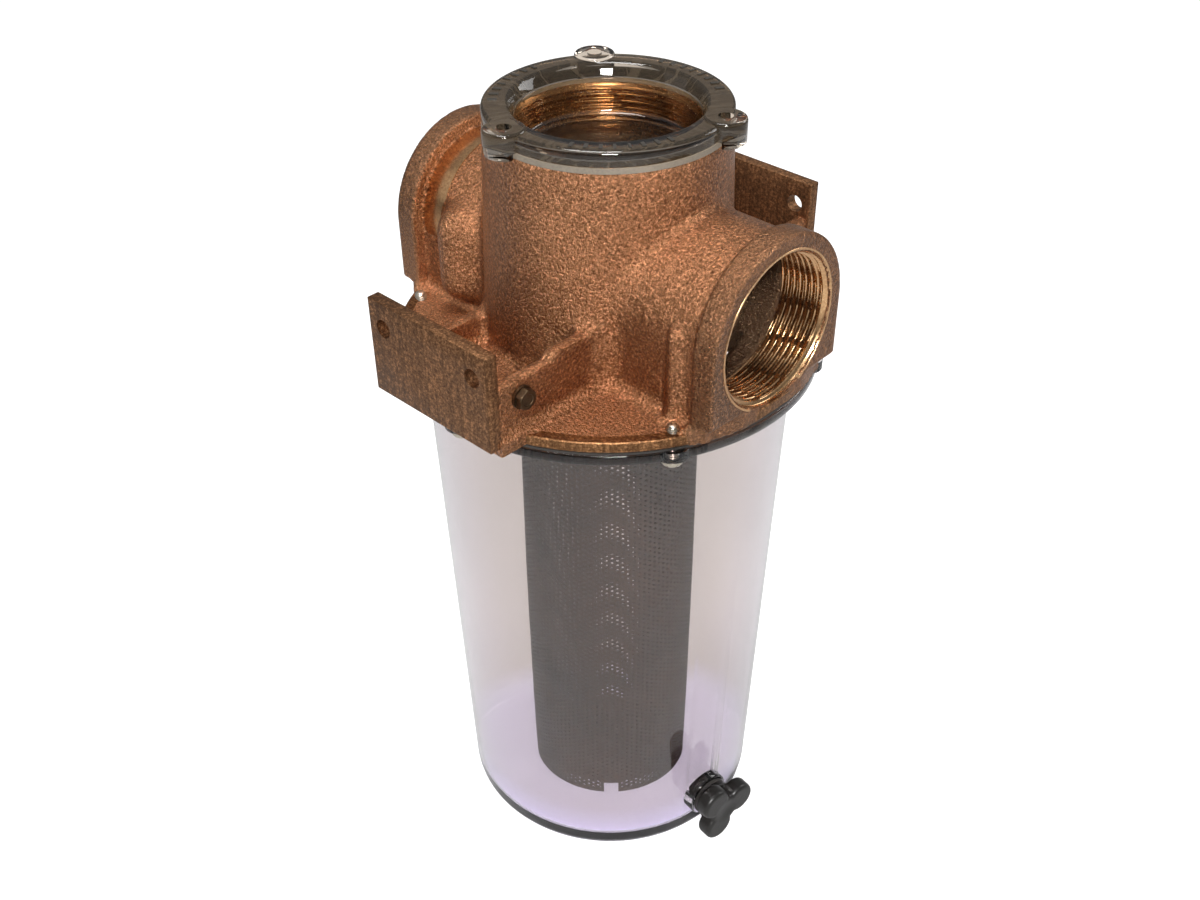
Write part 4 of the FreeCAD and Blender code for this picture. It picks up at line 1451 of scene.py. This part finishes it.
# --------------------------------------------------------------------------- drain plug
@dataclass
class DrainPlug:
    """The black three-lobed plug."""

    angle: float = -7.5
    height: float = 27.0
    seal_face: float = 88.2
    collar: float = 10.8
    collar_thick: float = 3.0
    hub: float = 10.8
    lobe: float = 8.8
    lobe_at: float = 10.8
    knob: float = 9.0
    lobe_angles: tuple = (8.0, 128.0, 248.0)
    shank: float = 6.9
    shank_reach: float = 77.0
    pitch: float = 1.4111
    thread_depth: float = 0.7
    sides: int = 48
    head_reach: float = 22.0
    head_step: float = 0.62
    lobe_blend: float = 1.2
    rim_round: float = 2.6
    dish_radius: float = 20.9
    dish_depth: float = 0.9

    def field(self, s: np.ndarray, t: np.ndarray, d: np.ndarray) -> np.ndarray:
        """Distance field of the head: s sideways, t up, d out along the axis from the seal face.

        Args:
            s: positions sideways.
            t: positions upwards.
            d: distances out along the axis.

        Returns:
            Signed distances, negative in the plug.
        """
        r = np.hypot(s, t)
        knob = r - self.hub * 0.86
        for angle in self.lobe_angles:
            a = math.radians(angle)
            lobe = np.hypot(s - self.lobe_at * math.cos(a), t - self.lobe_at * math.sin(a)) - self.lobe
            knob = smooth_min(knob, lobe, self.lobe_blend)
        start, end = self.collar_thick, self.collar_thick + self.knob
        slab = np.abs(d - (start + end) / 2) - self.knob / 2
        knob = smooth_max(knob, slab, self.rim_round)
        dish = np.hypot(r, d - end - self.dish_radius + self.dish_depth) - self.dish_radius
        knob = smooth_max(knob, -dish, 0.8)
        collar = smooth_max(r - self.collar, np.abs(d - start / 2 - 0.2) - start / 2 - 0.2, 0.8)
        return smooth_max(smooth_min(knob, collar, self.lobe_blend), -d, 0.4)

    def build(self, wardrobe: Wardrobe) -> None:
        """Make the plug's head and threaded shank as one piece.

        Args:
            wardrobe: source of finishes.
        """
        pts, faces = surface_net(self.field, (-self.head_reach, -self.head_reach, -1.5),
                                 (self.head_reach, self.head_reach, 14.0), self.head_step)
        pts[:, 2] = np.clip(pts[:, 2], 0.0, self.collar_thick + self.knob)
        a = math.radians(self.angle)
        axis = (math.cos(a), math.sin(a), 0.0)
        # The helper's sideways and lift directions are level and upright for a level axis.
        head = turned(pts + [0, 0, self.seal_face], axis, (0, 0, self.height))
        rows = threaded(self.shank, self.shank - self.thread_depth, self.shank_reach + 0.8,
                        self.seal_face + 0.4, self.pitch, self.sides, 8)
        back = rings([(self.shank - 1.5, self.seal_face + 1.0), (self.shank - 3.0, self.seal_face + 1.0),
                      (self.shank - 3.0, self.shank_reach), (self.shank - 1.3, self.shank_reach)], self.sides)
        grid = np.concatenate([rows, back])
        shank_faces = grid_faces(len(grid), self.sides, True, True)
        shank = turned(grid.reshape(-1, 3), axis, (0, 0, self.height))
        pts = np.concatenate([head, shank])
        faces = np.concatenate([faces, shank_faces + len(head)])
        plug = mesh_object("drain_knob", pts, faces, 50.0)
        hand_over(plug, "plug", wardrobe.get(Finish.PLUG), ["drain_plug"])


# --------------------------------------------------------------------------- studio
def straight_through(t: Tree, path: bpy.types.Node) -> object:
    """Pick the rays that left a clear piece and met nothing but clear pieces before."""
    bounces = t.math("ADD", path.outputs["Diffuse Depth"], path.outputs["Glossy Depth"])
    return t.math("MULTIPLY", path.outputs["Is Transmission Ray"], t.math("LESS_THAN", bounces, 0.5))


@dataclass(frozen=True)
class Lamp:
    """A square soft lamp: its place and size in metres and its power in watts."""

    name: str
    at: tuple
    size: float
    power: float


@dataclass
class Studio:
    """Camera, lights, world and floor."""

    eye: tuple = (0.3891, -0.4111, 0.6322)
    forward: tuple = (-0.5579, 0.5797, -0.5939)
    roll: float = -0.495
    lens: float = 41.35
    target: tuple = (0.0, 0.0, 0.24)
    lamps: tuple = (Lamp("key", (0.95, -0.95, 1.2), 0.35, 34.0),
                    Lamp("fill", (-1.0, -0.9, 0.8), 0.8, 0.8),
                    Lamp("top", (-0.1, -0.1, 1.5), 0.5, 9.0),
                    Lamp("rim", (0.5, 1.2, 0.9), 0.6, 5.0))
    horizon: float = 0.04
    zenith: float = 0.34
    sky_in_metal: float = 1.3
    floor_grey: float = 0.48
    floor_glow: float = 0.8
    floor_in_metal: float = 0.15
    floor_half: float = 6000.0
    floor_drop: float = 0.3

    def build(self) -> None:
        """Set up the whole studio."""
        scene = bpy.context.scene
        scene.view_settings.view_transform = "Standard"
        self._camera(scene)
        self._world(scene)
        self._lights(scene)
        self._floor()

    def _camera(self, scene: bpy.types.Scene) -> None:
        """Place the camera.

        Args:
            scene: the scene that it films.
        """
        data = bpy.data.cameras.new("camera")
        data.lens, data.sensor_width, data.clip_start, data.clip_end = self.lens, 36.0, 0.01, 20.0
        cam = bpy.data.objects.new("camera", data)
        scene.collection.objects.link(cam)
        fwd = Vector(self.forward).normalized()
        right = fwd.cross(Vector((0, 0, 1))).normalized()
        up = right.cross(fwd)
        r = math.radians(self.roll)
        right, up = right * math.cos(r) + up * math.sin(r), up * math.cos(r) - right * math.sin(r)
        basis = Matrix((right, up, -fwd)).transposed()
        cam.matrix_world = Matrix.Translation(self.eye) @ basis.to_4x4()
        scene.camera = cam

    def _world(self, scene: bpy.types.Scene) -> None:
        """White to the camera and in reflections, softer as light.

        Args:
            scene: the scene that it lights.
        """
        world = bpy.data.worlds.new("studio")
        scene.world = world
        world.use_nodes = True
        t = Tree(world.node_tree)
        back = world.node_tree.nodes["Background"]
        path = t.add("ShaderNodeLightPath")
        seen = t.math("MAXIMUM", path.outputs["Is Camera Ray"], straight_through(t, path))
        axes = t.add("ShaderNodeSeparateXYZ", {0: t.add("ShaderNodeTexCoord").outputs["Generated"]})
        sky = t.remap(axes.outputs[2], -0.1, 0.8, self.horizon, self.zenith)
        mirrored = t.math("MULTIPLY", sky, self.sky_in_metal)
        mirrored = t.math("MULTIPLY", path.outputs["Is Glossy Ray"], mirrored)
        strength = t.math("MAXIMUM", seen, t.math("MAXIMUM", sky, mirrored))
        world.node_tree.links.new(strength, back.inputs["Strength"])
        back.inputs["Color"].default_value = (1.0, 1.0, 1.0, 1.0)

    def _lights(self, scene: bpy.types.Scene) -> None:
        """Hang four soft lamps.

        Args:
            scene: the scene that they light.
        """
        target = Vector(self.target)
        for lamp in self.lamps:
            data = bpy.data.lights.new(lamp.name, "AREA")
            data.size, data.energy = lamp.size, lamp.power
            obj = bpy.data.objects.new(lamp.name, data)
            obj.location = lamp.at
            obj.rotation_mode = "QUATERNION"
            obj.rotation_quaternion = (target - Vector(lamp.at)).to_track_quat("-Z", "Y")
            scene.collection.objects.link(obj)

    def _floor(self) -> None:
        """Lay a white floor that keeps the part's shadow."""
        far, low = self.floor_half, -self.floor_drop
        pts = np.array([[-far, -far, low], [far, -far, low], [far, far, low], [-far, far, low]])
        floor = mesh_object("floor", pts, [[0, 1, 2, 3]])
        mat, t, bsdf, out = new_material("white_floor")
        bsdf.inputs["Base Color"].default_value = (self.floor_grey, self.floor_grey, self.floor_grey, 1.0)
        bsdf.inputs["Roughness"].default_value = 0.9
        path = t.add("ShaderNodeLightPath")
        seen = t.math("MAXIMUM", path.outputs["Is Camera Ray"],
                      t.math("MAXIMUM", straight_through(t, path),
                             t.math("MULTIPLY", path.outputs["Is Glossy Ray"], self.floor_in_metal)))
        glow = t.add("ShaderNodeEmission", {"Color": (1.0, 1.0, 1.0, 1.0), "Strength": self.floor_glow})
        both = t.add("ShaderNodeAddShader", {0: bsdf.outputs[0], 1: glow.outputs[0]})
        mixed = t.add("ShaderNodeMixShader", {0: seen, 1: bsdf.outputs[0], 2: both.outputs[0]})
        mat.node_tree.links.new(mixed.outputs[0], out.inputs["Surface"])
        floor.data.materials.append(mat)


def dress_nodes(wardrobe: Wardrobe) -> None:
    """Give each CAD node that stays its finish.

    Args:
        wardrobe: source of finishes.
    """
    for node, finish in (("cap_gasket", Finish.CAP_SEAL), ("bowl_gasket", Finish.SEAL),
                         ("drain_seal", Finish.SEAL), ("lock_washer", Finish.BOLT)):
        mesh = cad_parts[node].data
        mesh.materials.clear()
        mesh.materials.append(wardrobe.get(finish))
        LOG.info("%s dressed", node)


def main() -> None:
    """Build the strainer and its studio."""
    logging.basicConfig(level=logging.INFO, format="%(name)s: %(message)s")
    wardrobe = Wardrobe()
    Studio().build()
    dress_nodes(wardrobe)
    for part in (Casting(), Cap(), Bowl(), Basket(), Fasteners(), DrainPlug()):
        part.build(wardrobe)


if __name__ == "__main__":
    main()
